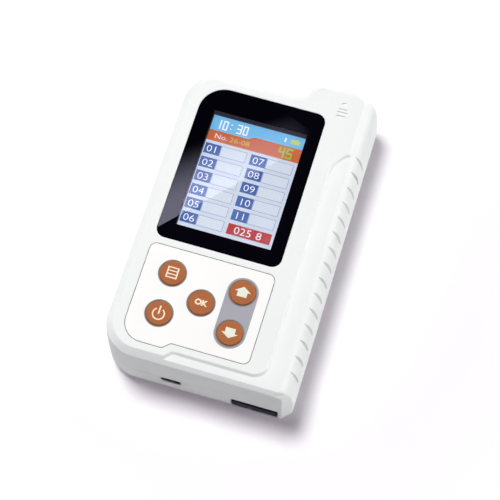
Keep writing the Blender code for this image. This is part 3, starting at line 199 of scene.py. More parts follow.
def addTurned(bm, profile, place, segments=64):
    # (radius, height) points round a section, turned about the place
    verts = [bm.verts.new((place[0] + radius, place[1], height)) for radius, height in profile]
    edges = [bm.edges.new(pair) for pair in zip(verts, verts[1:])]
    bmesh.ops.spin(bm, geom=verts + edges, cent=(place[0], place[1], 0), axis=(0, 0, 1),
                   angle=2 * math.pi, steps=segments, use_merge=True, use_duplicate=False)
    closeSeams(bm)


def closeSeams(bm):
    bmesh.ops.remove_doubles(bm, verts=bm.verts[:], dist=0.0005 * mm)


def addCylinder(bm, place, radius, low, high, segments=64):
    bmesh.ops.create_cone(bm, cap_ends=True, segments=segments, radius1=radius, radius2=radius,
                          depth=high - low, matrix=Matrix.Translation((*place, (low + high) / 2)))


def addBox(bm, left, right, front, back, low, high):
    size = Matrix.Diagonal((right - left, back - front, high - low, 1))
    middle = Matrix.Translation(((left + right) / 2, (front + back) / 2, (low + high) / 2))
    bmesh.ops.create_cube(bm, size=1, matrix=middle @ size)


def cutAcross(bm, place, way):
    bmesh.ops.bisect_plane(bm, geom=bm.verts[:] + bm.edges[:] + bm.faces[:], plane_co=place, plane_no=way)


def pourInto(bm, other):
    # moves another bmesh's geometry into this one
    mesh = bpy.data.meshes.new("part")
    other.to_mesh(mesh)
    other.free()
    bm.from_mesh(mesh)
    bpy.data.meshes.remove(mesh)


def addFromFront(bm, levels):
    # a solid through upright rings: (y, corners in X and Z) each, from the back to the front
    built = stackOf([(-y, corners) for y, corners in levels])
    bmesh.ops.rotate(built, verts=built.verts[:], matrix=Matrix.Rotation(math.pi / 2, 3, "X"))
    pourInto(bm, built)


def addWord(bm, text, place, look):
    # lettering with its foot at a place; capitals stand 0.7 of the font's size
    curve = bpy.data.curves.new("word", "FONT")
    curve.body = text
    curve.size = look["height"] * mm / 0.7
    curve.align_x = look.get("align", "LEFT")
    curve.extrude = look.get("thick", 0) / 2
    curve.offset = look["swell"]
    curve.resolution_u = look["fineness"]
    word = bpy.data.objects.new("word", curve)
    mesh = bpy.data.meshes.new_from_object(word)
    mesh.transform(Matrix.Translation(place) @ Matrix.Diagonal((look["stretch"], 1, 1, 1)))
    letters = bmesh.new()
    letters.from_mesh(mesh)
    closeSeams(letters)
    pourInto(bm, letters)
    bpy.data.objects.remove(word)
    bpy.data.curves.remove(curve)
    bpy.data.meshes.remove(mesh)


def meshObject(name, bm, *materials):
    bmesh.ops.recalc_face_normals(bm, faces=bm.faces[:])
    mesh = bpy.data.meshes.new(name)
    bm.to_mesh(mesh)
    bm.free()
    for material in materials:
        mesh.materials.append(material)
    thing = bpy.data.objects.new(name, mesh)
    bpy.context.scene.collection.objects.link(thing)
    return thing


def carve(thing, bm):
    # takes the cutter out of the piece's own mesh
    cutter = meshObject("cutter", bm)
    modifier = thing.modifiers.new("carve", "BOOLEAN")
    modifier.operation = "DIFFERENCE"
    modifier.solver = "EXACT"
    modifier.object = cutter
    mesh = bpy.data.meshes.new_from_object(thing.evaluated_get(bpy.context.evaluated_depsgraph_get()))
    mesh.name = thing.data.name
    thing.modifiers.clear()
    thing.data = mesh
    bpy.data.objects.remove(cutter, do_unlink=True)


def finishPiece(thing, body, stands=(), angle=30):
    thing.data.shade_smooth()
    thing.data.set_sharp_from_angle(angle=math.radians(angle))
    thing.modifiers.new("even shading", "WEIGHTED_NORMAL").keep_sharp = True
    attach(thing, body)
    if stands:
        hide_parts(*stands)
    return thing


def middleOf(node):
    low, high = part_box(node)
    return ((low.x + high.x) / 2, (low.y + high.y) / 2)


rearLow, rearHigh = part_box("rear_cover")
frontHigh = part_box("front_cover")[1]
lensLow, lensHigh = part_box("display_lens")
filmLow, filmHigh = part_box("keypad_overlay")
panelLow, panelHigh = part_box("display_module")
socketLow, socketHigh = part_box("usb_connector")
buttonNames = ["menu", "ok", "power", "up", "down"]
buttonPlaces = {name: middleOf(f"{name}_button") for name in buttonNames}

case = {
    "stepX": 9.0 * mm, "stepDrop": 8.4 * mm, "stepLean": 3.0 * mm, "stepRadius": 5.5 * mm,
    "frontLeftRadius": 13.5 * mm, "backRightRadius": 6.0 * mm, "backLeftRadius": 12.0 * mm,
    "draft": 0.4 * mm, "chamfer": 2.6 * mm, "chamferSoft": 0.9 * mm, "chamferSteps": 3, "shelf": 29.0 * mm,
    "rollFoot": 16.0 * mm, "rollWidth": 4.8 * mm, "rollSteps": 9, "rollClear": 0.3 * mm,
    "facet": 3.4 * mm, "facetTop": 1.8 * mm, "facetTurn": 2.9 * mm, "facetRound": 0.7 * mm,
    "facetSwell": 1.4 * mm, "facetEnd": 1.45 * mm, "facetLeast": 0.2 * mm, "leastRadius": 0.3 * mm,
    "wall": 2.0 * mm, "roof": 27.6 * mm, "floor": 3.0 * mm, "floorRound": 0.7 * mm,
    "bottomRound": 4.0 * mm, "bottomDraft": 0.2 * mm, "bottomSteps": 8,
    "parting": 13.9 * mm, "partingGap": 0.06 * mm, "partingSoft": 0.15 * mm,
    "bandLevels": (26.3, 26.7, 26.95), "shelfLevels": (28.0, 28.5, 28.8, 29.0),  # mm, extra rings
    # inside of the cover in mm: height, how much more wall, height whose roll the grip side follows
    "hollow": ((16.0, 0, 16.0), (24.0, 0, 25.0), (26.0, 0.4, 28.0), (27.6, 2.0, 29.0)),
}
caseLeft, caseRight = rearLow.x, rearHigh.x
caseFront, caseBack = rearLow.y, rearHigh.y
caseTop, caseUnder = frontHigh.z, rearLow.z
shoulder = caseBack - case["stepDrop"]
chamferFoot = caseTop - case["chamfer"]

# satin white with hardly any mottle: soft highlights, crisp edges
whiteAbs = mouldedPlastic("white ABS, moulded", {
    "colour": "#f3f4f3", "shade": "#eff1f0", "mottle": 18, "grain": 0.35, "relief": 0.12,
    "gloss": (0.42, 0.5), "shine": 0.3,
})


def gripRoll(height):
    # how far the rolled grip side stands in: a quarter ellipse that meets the shelf level
    share = min(max(height - case["rollFoot"], 0) / (case["shelf"] - case["rollFoot"]), 1)
    return case["rollWidth"] * (1 - math.sqrt(1 - share ** 2)) + max(height - case["shelf"], 0)


def facetStart(height, side):
    # where the end wall turns into the corner facet: upright, then round to run along under the top band
    turn = case["facetTurn"]
    rise = min(max(height - (chamferFoot - turn), 0), turn)
    place = caseRight - case["facet"] - turn + math.sqrt(turn ** 2 - rise ** 2)
    return min(place, side - case["facetEnd"])


def facetFinish(height, front):
    # how far back the facet ends on the rolled side: it narrows as the side rolls over to the top
    share = min(gripRoll(height) / case["rollWidth"], 1)
    reach = case["facet"] + (case["facetTop"] - case["facet"]) * share
    return max(caseFront + reach, front + case["facetLeast"])


def caseCorners(height, inset, gripInset):
    lean = case["stepLean"] / 2
    corners = [(caseLeft, caseFront), (caseRight, caseFront), (caseRight, caseBack),
               (case["stepX"] + lean, caseBack), (case["stepX"] - lean, shoulder), (caseLeft, shoulder)]
    radii = [case["frontLeftRadius"] - inset, 0, case["backRightRadius"] - min(inset, gripInset),
             case["stepRadius"] - inset, case["stepRadius"] + inset, case["backLeftRadius"] - inset]
    rounded = roundedCorners(corners, [inset, gripInset, inset, inset, inset, inset],
                             [max(radius, case["leastRadius"]) for radius in radii], 10)
    x, y = rounded[1][:2]
    first, last = x - case["facet"], y + case["facet"]
    if height > case["parting"]:
        first, last = facetStart(height, x), facetFinish(height, y)
    turn = case["facetRound"] + case["facetSwell"] * min(max(height - chamferFoot, 0) / case["chamfer"], 1)
    return rounded[:1] + [(first, y, turn, 5), (x, last, turn, 5)] + rounded[2:]


def chamferLevels():
    # (height, inset) up the wall, over the chamfer with softened edges and onto the top
    soft, steps = case["chamferSoft"], case["chamferSteps"]
    run = soft * math.tan(math.pi / 8)
    levels = [(chamferFoot - run + soft * sine, soft * (1 - cosine))
              for sine, cosine in arc(steps, 0, math.pi / 4)]
    levels += [(caseTop - soft * (1 - sine), case["chamfer"] + run - soft * cosine)
               for sine, cosine in arc(steps, math.pi / 4)]
    return levels


def makeFrontCover():
    low = case["parting"] + case["partingGap"] / 2
    levels = softEdge(low, case["partingSoft"], -1)
    for sine, cosine in arc(case["rollSteps"])[1:-1]:
        height = case["rollFoot"] + (case["shelf"] - case["rollFoot"]) * sine
        if height < chamferFoot - case["rollClear"]:
            levels.append((height, 0))
    levels += [(height * mm, 0) for height in case["bandLevels"]] + chamferLevels()
    levels += [(height * mm, height * mm - chamferFoot) for height in case["shelfLevels"]]
    levels.sort()
    rings = []
    for height, inset in levels:
        lean = case["draft"] * min((height - low) / (chamferFoot - low), 1)
        roll = inset if height < case["rollFoot"] else gripRoll(height)
        rings.append((height, caseCorners(height, lean + inset, lean + roll)))
    cover = meshObject("coverShell", stackOf(rings), whiteAbs)
    wall = case["wall"]
    inside = [(low - wall, caseCorners(low - wall, wall, wall))]
    for height, more, level in case["hollow"]:
        corners = caseCorners(height * mm, wall + more * mm, wall + gripRoll(level * mm))
        inside.append((height * mm, corners))
    carve(cover, stackOf(inside))
    return cover


coverShell = makeFrontCover()
print("front cover shell", len(coverShell.data.polygons), "faces")

ridge = {
    "startX": -9.4 * mm, "toSide": 11.75 * mm, "toFront": 5.85 * mm, "toBack": 25.3 * mm,
    "startRadius": 1.5 * mm, "frontRadius": 5.0 * mm, "backRadius": 11.5 * mm,
    "ramp": 1.3 * mm, "rampSteps": 8, "lip": 0.15 * mm,
}


def ridgeCorners(inset):
    # region of the lowered shelf, run out past the case at the front and right
    beyond = caseRight - caseLeft
    front, back, right = caseFront + ridge["toFront"], caseBack - ridge["toBack"], caseRight - ridge["toSide"]
    corners = [(ridge["startX"] - beyond, front - beyond), (caseRight + beyond, front - beyond),
               (caseRight + beyond, back), (right, back), (right, front), (ridge["startX"], front)]
    radii = [0, 0, 0, ridge["backRadius"] - inset, ridge["frontRadius"] + inset, ridge["startRadius"] + inset]
    return roundedCorners(corners, [inset] * 6, [max(radius, 0) for radius in radii], 12)


def carveShelf():
    # the ramp is a soft S: two arcs between the shelf and the raised panel
    drop, steps = caseTop - case["shelf"], ridge["rampSteps"]
    levels = []
    for step, (sine, cosine) in enumerate(arc(steps, 0, math.pi)):
        height = case["shelf"] + drop * (1 - cosine) / 2
        levels.append((height, ridgeCorners(ridge["ramp"] * (1 - step / steps))))
    levels.append((caseTop + past, ridgeCorners(-ridge["lip"])))
    carve(coverShell, stackOf(levels))


carveShelf()

panel = {
    "lensRadius": 3.5 * mm, "lensLeftRadius": 10.0 * mm, "lensGap": 0.25 * mm, "lensSeat": 0.3 * mm,
    "filmStep": 2.5 * mm, "filmStepLeft": -13.3 * mm, "filmStepRight": -10.6 * mm, "filmSeat": 0.02 * mm,
    "filmRadius": 2.5 * mm, "filmLeftRadius": 7.6 * mm, "filmHole": 4.97 * mm, "filmGap": 0.26 * mm,
    "ledge": 1.4 * mm, "buttonHole": 5.3 * mm,
    "lensRim": ((-0.12, 0), (-0.03, 0.06), (0.2, 0.35)),  # mm above the top, mm wider
    "filmRim": ((-0.05, 0), (0.2, 0.25)),
}


def lensCorners(inset):
    corners = [(lensLow.x, lensLow.y), (lensHigh.x, lensLow.y), (lensHigh.x, lensHigh.y),
               (lensLow.x, lensHigh.y)]
    radii = [panel["lensRadius"]] * 3 + [panel["lensLeftRadius"]]
    return roundedCorners(corners, [inset] * 4, [radius - inset for radius in radii], 10)


def filmCorners(inset):
    stepBack = filmLow.y + panel["filmStep"]
    corners = [(filmLow.x, filmLow.y), (panel["filmStepLeft"], filmLow.y), (panel["filmStepRight"], stepBack),
               (filmHigh.x, stepBack), (filmHigh.x, filmHigh.y), (filmLow.x, filmHigh.y)]
    radii = [panel["filmLeftRadius"]] + [ridge["startRadius"]] * 2 + [panel["filmRadius"]] * 3
    radii = [max(radius - inset, case["leastRadius"]) for radius in radii]
    return roundedCorners(corners, [inset] * 6, radii, 8)


def carvePanel():
    recesses = bmesh.new()
    for corners, gap, floor, rim in (
            (lensCorners, panel["lensGap"], lensLow.z - panel["lensSeat"], panel["lensRim"]),
            (filmCorners, panel["filmGap"], filmLow.z - panel["filmSeat"], panel["filmRim"])):
        softened = [(caseTop + up * mm, corners(-gap - wider * mm)) for up, wider in rim]
        addStack(recesses, [(floor, corners(-gap))] + softened)
    carve(coverShell, recesses)
    ledge = panel["ledge"]
    window = rectangle(panelLow.x, panelHigh.x, panelLow.y, panelHigh.y, 2 * ledge, 4, ledge)
    holes = stackOf([(case["roof"] - past, window), (caseTop + past, window)])
    for place in buttonPlaces.values():
        addCylinder(holes, place, panel["buttonHole"], case["roof"] - past, caseTop + past)
    carve(coverShell, holes)


carvePanel()
print("shelf, lens seat and button holes carved")

groove = {
    "count": 15, "pitch": 6.3 * mm, "first": 36.0 * mm, "width": 1.1 * mm, "floorWidth": 0.5 * mm,
    "flare": 1.6, "tip": 0.002, "endLift": 0.02 * mm, "top": 28.46 * mm, "foot": 18.3 * mm,
    "depth": 1.2 * mm, "above": 0.6 * mm, "steps": 12,
}


def rollPoint(height, out):
    # a place on the rolled side, moved out along its normal
    step = 0.05 * mm
    slope = (gripRoll(height + step) - gripRoll(height - step)) / (2 * step)
    away = Vector((1, slope)).normalized()
    side = caseRight - case["draft"] * min((height - case["parting"]) / (chamferFoot - case["parting"]), 1)
    return Vector((side - gripRoll(height), height)) + away * out


def carveGrooves():
    # each groove runs down the roll, deepest half way, and shows as a crescent
    bm = bmesh.new()
    tip = groove["tip"]
    for index in range(groove["count"]):
        y = groove["first"] - index * groove["pitch"]
        rings = []
        for step in range(groove["steps"] + 1):
            share = step / groove["steps"]
            height = groove["top"] + (groove["foot"] - groove["top"]) * share
            swell = math.sqrt(math.sin(math.pi * min(max(share, tip), 1 - tip)))
            deep = rollPoint(height, groove["endLift"] - groove["depth"] * swell)
            high = rollPoint(height, groove["above"])
            low, wide = groove["floorWidth"] / 2 * swell, groove["width"] / 2 * swell * groove["flare"]
            corners = [(deep.x, y - low, deep.y), (deep.x, y + low, deep.y),
                       (high.x, y + wide, high.y), (high.x, y - wide, high.y)]
            rings.append(bm.faces.new([bm.verts.new(corner) for corner in corners]))
        joinRings(bm, rings)
    carve(coverShell, bm)


carveGrooves()

sounder = {
    "slots": ((53.1, 21.7, 25.1), (51.8, 21.5, 25.6), (50.2, 21.6, 25.2)),  # y, left, right in mm
    "width": 0.62 * mm, "depth": 0.5 * mm, "arrow": (23.3 * mm, 55.4 * mm), "arrowSize": 1.2 * mm,
}


def carveSounder():
    # three shallow slots over the sounder and a small triangle that points to the far end
    bm = bmesh.new()
    half, size = sounder["width"] / 2, sounder["arrowSize"]
    for y, left, right in sounder["slots"]:
        corners = rectangle(left * mm, right * mm, y * mm - half, y * mm + half, half * 0.9, 6)
        addStack(bm, [(caseTop - sounder["depth"], corners), (caseTop + past, corners)])
    place = Matrix.Translation((*sounder["arrow"], caseTop + past / 2 - sounder["depth"]))
    bmesh.ops.create_cone(bm, cap_ends=True, segments=3, radius1=size, radius2=size, depth=past,
                          matrix=place @ Matrix.Rotation(math.pi / 2, 4, "Z"))
    carve(coverShell, bm)


carveSounder()
finishPiece(coverShell, "housing", ["front_cover"], angle=32)
print("grip grooves and sounder slots carved")

trayHole = {"left": 14.0 * mm, "right": 32.0 * mm, "low": 4.0 * mm, "high": 11.5 * mm, "radius": 0.8 * mm}
socketHole = {"left": socketLow.x - 0.25 * mm, "right": socketHigh.x + 0.25 * mm,
              "low": socketLow.z - 0.55 * mm, "high": socketHigh.z + 0.4 * mm, "radius": 0.8 * mm}
rimLevels = ((0.3, 0), (0.1, 0.06), (0, 0.14), (-1, 1.14))  # mm behind the end wall's face, mm wider


def holeCorners(hole, grow=0.0):
    return rectangle(hole["left"], hole["right"], hole["low"], hole["high"], hole["radius"], 4, -grow)


def makeRearCover():
    high = case["parting"] - case["partingGap"] / 2
    curve, steps = case["bottomRound"], case["bottomSteps"]
    levels = []
    for step, (sine, cosine) in enumerate(arc(steps)):
        inset = curve * (1 - sine) + case["bottomDraft"] * (1 - step / steps)
        levels.append((caseUnder + curve * (1 - cosine), inset))
    levels += softEdge(high, case["partingSoft"])
    wall, curve = case["wall"], case["floorRound"]
    inside = [(case["floor"], wall + curve), (case["floor"] + curve, wall), (high + wall, wall)]
    outer, inner = ([(height, caseCorners(0, inset, inset)) for height, inset in rings]
                    for rings in (levels, inside))
    cover = meshObject("rearShell", stackOf(outer), whiteAbs)
    carve(cover, stackOf(inner))
    openings = bmesh.new()
    for hole in (trayHole, socketHole):
        softened = [(caseFront + deep * mm, holeCorners(hole, grow * mm)) for deep, grow in rimLevels]
        addFromFront(openings, [(caseFront + 2 * wall, holeCorners(hole))] + softened)
    carve(cover, openings)
    return cover


rearShell = makeRearCover()

# pockets in the underside: radius, depth, segments
pockets = {"foot": (4.15 * mm, 0.6 * mm, 64), "housing_screw": (2.5 * mm, 1.9 * mm, 48)}


def carveUnderside():
    bm = bmesh.new()
    for kind, (radius, depth, segments) in pockets.items():
        for index in (1, 2, 3, 4):
            addCylinder(bm, middleOf(f"{kind}_{index}"), radius, caseUnder - past, caseUnder + depth,
                        segments)
    carve(rearShell, bm)


carveUnderside()
finishPiece(rearShell, "housing", ["rear_cover"], angle=32)
print("rear cover shell", len(rearShell.data.polygons), "faces")

display = {
    "pixelRow": 0.45 * mm,  # real rows are 0.15 mm, drawn three times as coarse so that they show
    "cloud": 9 * mm,
    "shiftX": -0.138, "shiftY": 0.434,  # shift of a point for each unit of depth under the lens
    "rowHeight": 4.4, "rowGap": 0.1, "rowLine": 0.2, "textFoot": 3.6,  # the table's rows, in mm
}
lensWindow = {"left": -23.3 * mm, "right": 13.3 * mm, "front": -9.8 * mm, "back": 39.45 * mm}
lens = {"edge": 0.15 * mm, "grow": 0.2 * mm, "wipe": 22 * mm, "haze": 0.008}

# clear, hard gloss with the faintest wiping haze
lensAcrylic, lensTree = emptyMaterial("polished acrylic, clear")
lensWipe = addNode(lensTree, "TexNoise", {"Scale": 1 / lens["wipe"], "Detail": 2.0},
                   {"Vector": objectPoint(lensTree)})
lensHaze = addNode(lensTree, "MapRange", {"To Min": 0.0, "To Max": lens["haze"]}, {"Value": lensWipe})
addSurface(lensTree, {"Transmission Weight": 1.0, "IOR": 1.49, "Base Color": hexColour("#fbfcff")},
           {"Roughness": lensHaze})
# ink on the back of the lens: deep black under the lens's own gloss
blackPrint = mouldedPlastic("black screen print behind acrylic", {
    "colour": "#030208", "shade": "#05040c", "mottle": 12, "grain": 6, "relief": 0.003,
    "gloss": (0.0, 0.008), "ior": 1.49,
})


def makeLens():
    # one clear plate; faces outside the window carry the black print
    levels = [(lensLow.z, 0)] + softEdge(lensHigh.z, lens["edge"])
    bm = stackOf([(height, lensCorners(inset - lens["grow"])) for height, inset in levels])
    for x in (lensWindow["left"], lensWindow["right"]):
        cutAcross(bm, (x, 0, 0), (1, 0, 0))
    for y in (lensWindow["front"], lensWindow["back"]):
        cutAcross(bm, (0, y, 0), (0, 1, 0))
    for face in bm.faces:
        x, y = face.calc_center_median().xy
        inside = (lensWindow["left"] < x < lensWindow["right"]
                  and lensWindow["front"] < y < lensWindow["back"])
        face.material_index = 1 if inside else 0
    return meshObject("lensPlate", bm, blackPrint, lensAcrylic)


finishPiece(makeLens(), "housing", ["display_lens"], angle=12)

# dull grey metal, darkened by its stamping
panelFrame = workedMetal("tinplate, stamped frame", {
    "colour": "#4a4658", "shade": "#3c3a4c", "marks": 1.2, "stretch": (1, 6, 1), "gloss": (0.45, 0.6),
})
glass = {"left": -24.6 * mm, "right": 14.6 * mm, "front": -11.2 * mm, "back": 42.0 * mm,
         "layer": 0.02 * mm, "sunk": 0.3 * mm, "soft": 0.2 * mm, "round": 0.1 * mm, "frameRound": 0.5 * mm}


def panelCorners(inset):
    return rectangle(panelLow.x, panelHigh.x, panelLow.y, panelHigh.y, glass["frameRound"], 4, inset)


def makePanel():
    soft = glass["soft"]
    levels = ((panelLow.z, soft), (panelLow.z + soft, 0), (panelHigh.z - soft, 0), (panelHigh.z, soft))
    thing = meshObject("panelModule", stackOf([(height, panelCorners(inset)) for height, inset in levels]),
                       panelFrame)
    corners = rectangle(glass["left"], glass["right"], glass["front"], glass["back"], glass["round"], 2)
    carve(thing, stackOf([(panelHigh.z - glass["sunk"], corners), (panelHigh.z + past, corners)]))
    return thing


finishPiece(makePanel(), "housing", ["display_module"])


def litField(name, look):
    # part of a backlit liquid-crystal panel: glows in its own colour, a little unevenly, in fine rows; the
    # dark border's glow is painted light
    material, tree = emptyMaterial(name)
    point = objectPoint(tree)
    rows = addNode(tree, "TexWave", {
        "wave_type": "BANDS", "bands_direction": "Y", "Scale": 1 / (display["pixelRow"] * 2 * math.pi),
    }, {"Vector": point})
    cloud = addNode(tree, "TexNoise", {"Scale": 1 / display["cloud"], "Detail": 1.0}, {"Vector": point})
    both = addNode(tree, "Math", {"operation": "MULTIPLY_ADD", 1: 0.35}, {0: rows.outputs["Fac"], 2: cloud})
    addSurface(tree, {"Base Color": hexColour("#050508"), "Roughness": 0.35, "Emission Strength": 1.0},
               {"Emission Color": twoTone(tree, look, both)})
    return material


fieldColours = {
    "table": ("#cfd9e8", "#c9d4e5"), "sky": ("#6fbfec", "#67b5e6"), "orange": ("#cf6228", "#c45a22"),
    "label": ("#1058ac", "#0a4e9e"), "value": ("#d7e0ec", "#d2dbe8"), "outline": ("#8f98b8", "#838dae"),
    # the border's dark violet glow is painted light, for the light that reaches the panel's dark edge through
    # the lens
    "paintedLightBorder": ("#35313f", "#2c2936"), "red": ("#b80402", "#ae0301"), "white": ("#ffffff", "#f2f6ff"),
    "green": ("#9ccb2c", "#86b424"), "lime": ("#d6dc4a", "#c4cc3e"),
}
fields = {name: litField(f"backlit panel, {name}", {"colour": colour, "shade": shade})
          for name, (colour, shade) in fieldColours.items()}

# rectangles of the picture, in mm as seen on the lens: colour, left, right, front, back, layer
picture = [
    # the two border strips glow as painted light
    ("paintedLightBorder", -24.2, 14.4, 37.3, 39.8, 3), ("paintedLightBorder", -24.2, -22.75, -12.0, 37.3, 3),
    ("table", -23.3, 13.9, -12.0, 26.6, 0),
    ("orange", -23.3, 13.9, 26.6, 32.6, 0),
    ("sky", -23.3, 13.9, 32.4, 37.3, 1), ("sky", -23.3, -7.4, 31.1, 32.4, 1),
    ("white", 5.9, 6.5, 33.9, 35.6, 2), ("lime", 8.3, 11.6, 33.9, 35.7, 2),
    ("lime", 11.6, 12.1, 34.4, 35.2, 2), ("sky", 9.25, 9.5, 34.2, 35.4, 3),
    ("sky", 10.35, 10.6, 34.2, 35.4, 3), ("white", -15.3, -14.8, 34.7, 35.2, 2),
    ("white", -15.3, -14.8, 32.9, 33.4, 2),
    ("red", -4.4, 12.4, -8.4, -4.0, 2),
]
# words of the picture: colour, text, left, foot, letter height, layer, stretch
words = [
    ("white", "No.", -20.2, 27.9, 2.0, 2, 1.2), ("lime", "26-08", -14.2, 27.9, 2.0, 2, 1.2),
    ("white", "025", -1.9, -7.6, 2.9, 3, 1.12), ("white", "8", 6.6, -7.6, 2.9, 3, 1.12),
]
# large numbers drawn as bars: colour, figure, left, foot, width, height, stroke
figures = [
    ("white", "1", -21.0, 32.0, 1.9, 3.9, 0.5), ("white", "0", -18.3, 32.0, 1.9, 3.9, 0.5),
    ("white", "3", -12.7, 32.0, 1.9, 3.9, 0.5), ("white", "0", -10.3, 32.0, 1.9, 3.9, 0.5),
    ("green", "4", 4.9, 27.3, 2.4, 4.4, 0.65), ("green", "5", 7.9, 27.3, 2.4, 4.4, 0.65),
]
figureBars = {"0": "top upper lower foot left leftUpper", "1": "upper lower",
              "3": "top upper lower foot middle", "4": "leftUpper middle upper lower",
              "5": "top leftUpper middle lower foot"}
rowBacks = [25.4, 19.5, 13.6, 7.7, 1.9, -4.0]
# columns of the table: first number, rows, label's left, label's right, value's right, number's left
columns = [(1, 6, -22.4, -16.2, -6.0, -21.6), (7, 5, -4.4, 1.9, 12.2, -3.5)]
line = display["rowLine"]
for first, rows, left, middle, right, textLeft in columns:
    for index, back in enumerate(rowBacks[:rows]):
        front, value = back - display["rowHeight"], middle + display["rowGap"]
        picture += [("label", left, middle, front, back, 1), ("outline", value, right, front, back, 1),
                    ("value", value + line, right - line, front + line, back - line, 2)]
        words.append(("white", f"{first + index:02}", textLeft, back - display["textFoot"], 2.8, 2, 1.15))


def seenOnPanel(x, y):
    depth = lensHigh.z - panelHigh.z
    return Vector((x * mm + display["shiftX"] * depth, y * mm + display["shiftY"] * depth))


def makePicture():
    sheets = {name: bmesh.new() for name in fields}
    base, step = panelHigh.z - glass["sunk"], glass["layer"]
    for colour, left, right, front, back, layer in picture:
        low, high = seenOnPanel(left, front), seenOnPanel(right, back)
        low.x, low.y = max(low.x, glass["left"]), max(low.y, glass["front"])
        high.x, high.y = min(high.x, glass["right"]), min(high.y, glass["back"])
        addBox(sheets[colour], low.x, high.x, low.y, high.y, base, base + (1 + layer) * step)
    for colour, figure, left, foot, width, height, stroke in figures:
        right, back, half = left + width, foot + height, foot + height / 2
        bars = {"top": (left, right, back - stroke, back), "foot": (left, right, foot, foot + stroke),
                "middle": (left, right, half - stroke / 2, half + stroke / 2),
                "upper": (right - stroke, right, half, back), "lower": (right - stroke, right, foot, half),
                "left": (left, left + stroke, foot, half), "leftUpper": (left, left + stroke, half, back)}
        for name in figureBars[figure].split():
            barLeft, barRight, barFoot, barBack = bars[name]
            low, high = seenOnPanel(barLeft, barFoot), seenOnPanel(barRight, barBack)
            addBox(sheets[colour], low.x, high.x, low.y, high.y, base, base + 3 * step)
    # the blue bar's foot steps up to the right on a slant, a hair below the bar's own face
    sky = sheets["sky"]
    slant = [seenOnPanel(*place) for place in ((-7.4, 31.1), (-5.5, 32.4), (-7.4, 32.4))]
    face = sky.faces.new([sky.verts.new((*place, base + 1.98 * step)) for place in slant])
    bmesh.ops.extrude_face_region(sky, geom=[face])
    bmesh.ops.translate(sky, verts=face.verts[:], vec=(0, 0, -step))
    for colour, text, left, foot, height, layer, stretch in words:
        addWord(sheets[colour], text, (*seenOnPanel(left, foot), base + (1.5 + layer) * step), {
            "height": height, "stretch": stretch, "thick": step, "swell": -0.035 * mm, "fineness": 3,
        })
    for colour, bm in sheets.items():
        thing = meshObject(f"picture_{colour}", bm, fields[colour])
        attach(thing, "housing")


makePicture()
print("display made")

film = {
    "colour": "#fefdfb", "shade": "#fbfaf9", "gloss": (0.32, 0.4), "cloud": 15 * mm, "grain": 0.25 * mm,
    # the ring colour is painted shade round each button hole, for the shaded gap round its cap
    "pillColour": "#abaab4", "pillRadius": 5.9 * mm, "shadeRingColour": "#928c84", "ringRadius": 5.36 * mm,
    "pillBlur": 0.05 * mm, "shadeRingBlur": 0.04 * mm, "edge": 0.06 * mm,
    "tapeHair": 0.01 * mm, "tapeHigh": 0.1 * mm,
}


def overlayDisc(tree, paper, printAndShade, away, radius, blur):
    # a colour inside a radius, with a slightly soft edge: the printed pill, and the rings of painted shade
    # round the caps
    inside = addNode(tree, "MapRange", {"From Min": radius + blur, "From Max": radius - blur},
                     {"Value": away.outputs["Value"]})
    mix = addNode(tree, "Mix", {"data_type": "RGBA", 7: hexColour(printAndShade)}, {"Factor": inside, 6: paper})
    return mix.outputs[2]


def keypadPrintAndShade():
    # back-printed polyester film: satin face over even ink, with a grey pill printed round two buttons and a
    # thin ring of painted shade round each button, for the shaded gap round its cap
    material, tree = emptyMaterial("printed polyester film, painted shade rings")
    point = objectPoint(tree)
    cloud = addNode(tree, "TexNoise", {"Scale": 1 / film["cloud"], "Detail": 2.0}, {"Vector": point})
    links = colourAndGloss(tree, film, cloud)
    apart = addNode(tree, "SeparateXYZ", links={"Vector": point})
    x, top = buttonPlaces["up"]
    aside = addNode(tree, "Math", {"operation": "SUBTRACT", 1: x}, {0: apart.outputs["X"]})
    held = addNode(tree, "Clamp", {"Min": buttonPlaces["down"][1], "Max": top}, {"Value": apart.outputs["Y"]})
    along = addNode(tree, "Math", {"operation": "SUBTRACT"}, {0: apart.outputs["Y"], 1: held})
    offset = addNode(tree, "CombineXYZ", links={"X": aside, "Y": along})
    away = addNode(tree, "VectorMath", {"operation": "LENGTH"}, {0: offset})
    printAndShade = overlayDisc(tree, links["Base Color"], film["pillColour"], away, film["pillRadius"],
                    film["pillBlur"])
    # painted shade: a grey-brown ring round each button hole, where the gap round the cap falls into shade
    for place in buttonPlaces.values():
        away = addNode(tree, "VectorMath", {"operation": "DISTANCE", 1: (*place, filmHigh.z)}, {0: point})
        printAndShade = overlayDisc(tree, printAndShade, film["shadeRingColour"], away, film["ringRadius"], film["shadeRingBlur"])
    grain = addNode(tree, "TexNoise", {"Scale": 1 / film["grain"], "Detail": 1.0}, {"Vector": point})
    relief = addNode(tree, "Bump", {"Strength": 0.05, "Distance": 0.01 * mm}, {"Height": grain})
    addSurface(tree, {"IOR": 1.5}, {**links, "Base Color": printAndShade, "Normal": relief})
    return material


def makeFilm():
    edge, top = film["edge"], filmHigh.z
    plate = stackOf([(filmLow.z, filmCorners(0)), (top - edge, filmCorners(0)), (top, filmCorners(edge))])
    thing = meshObject("keypadFilm", plate, keypadPrintAndShade())
    holes = bmesh.new()
    for place in buttonPlaces.values():
        addCylinder(holes, place, panel["filmHole"], filmLow.z - past, top + past)
    carve(thing, holes)
    return thing


keypadFilm = finishPiece(makeFilm(), "housing", ["keypad_overlay"])

# matt, open cells on a cut edge; the tape's grey is painted shade for the gap round the film
gapShadeTape = mouldedPlastic("grey foam tape, painted gap shade", {
    "colour": "#77777b", "shade": "#6a6a6e", "mottle": 1.0, "grain": 0.3, "relief": 0.5, "gloss": (0.8, 0.9),
})
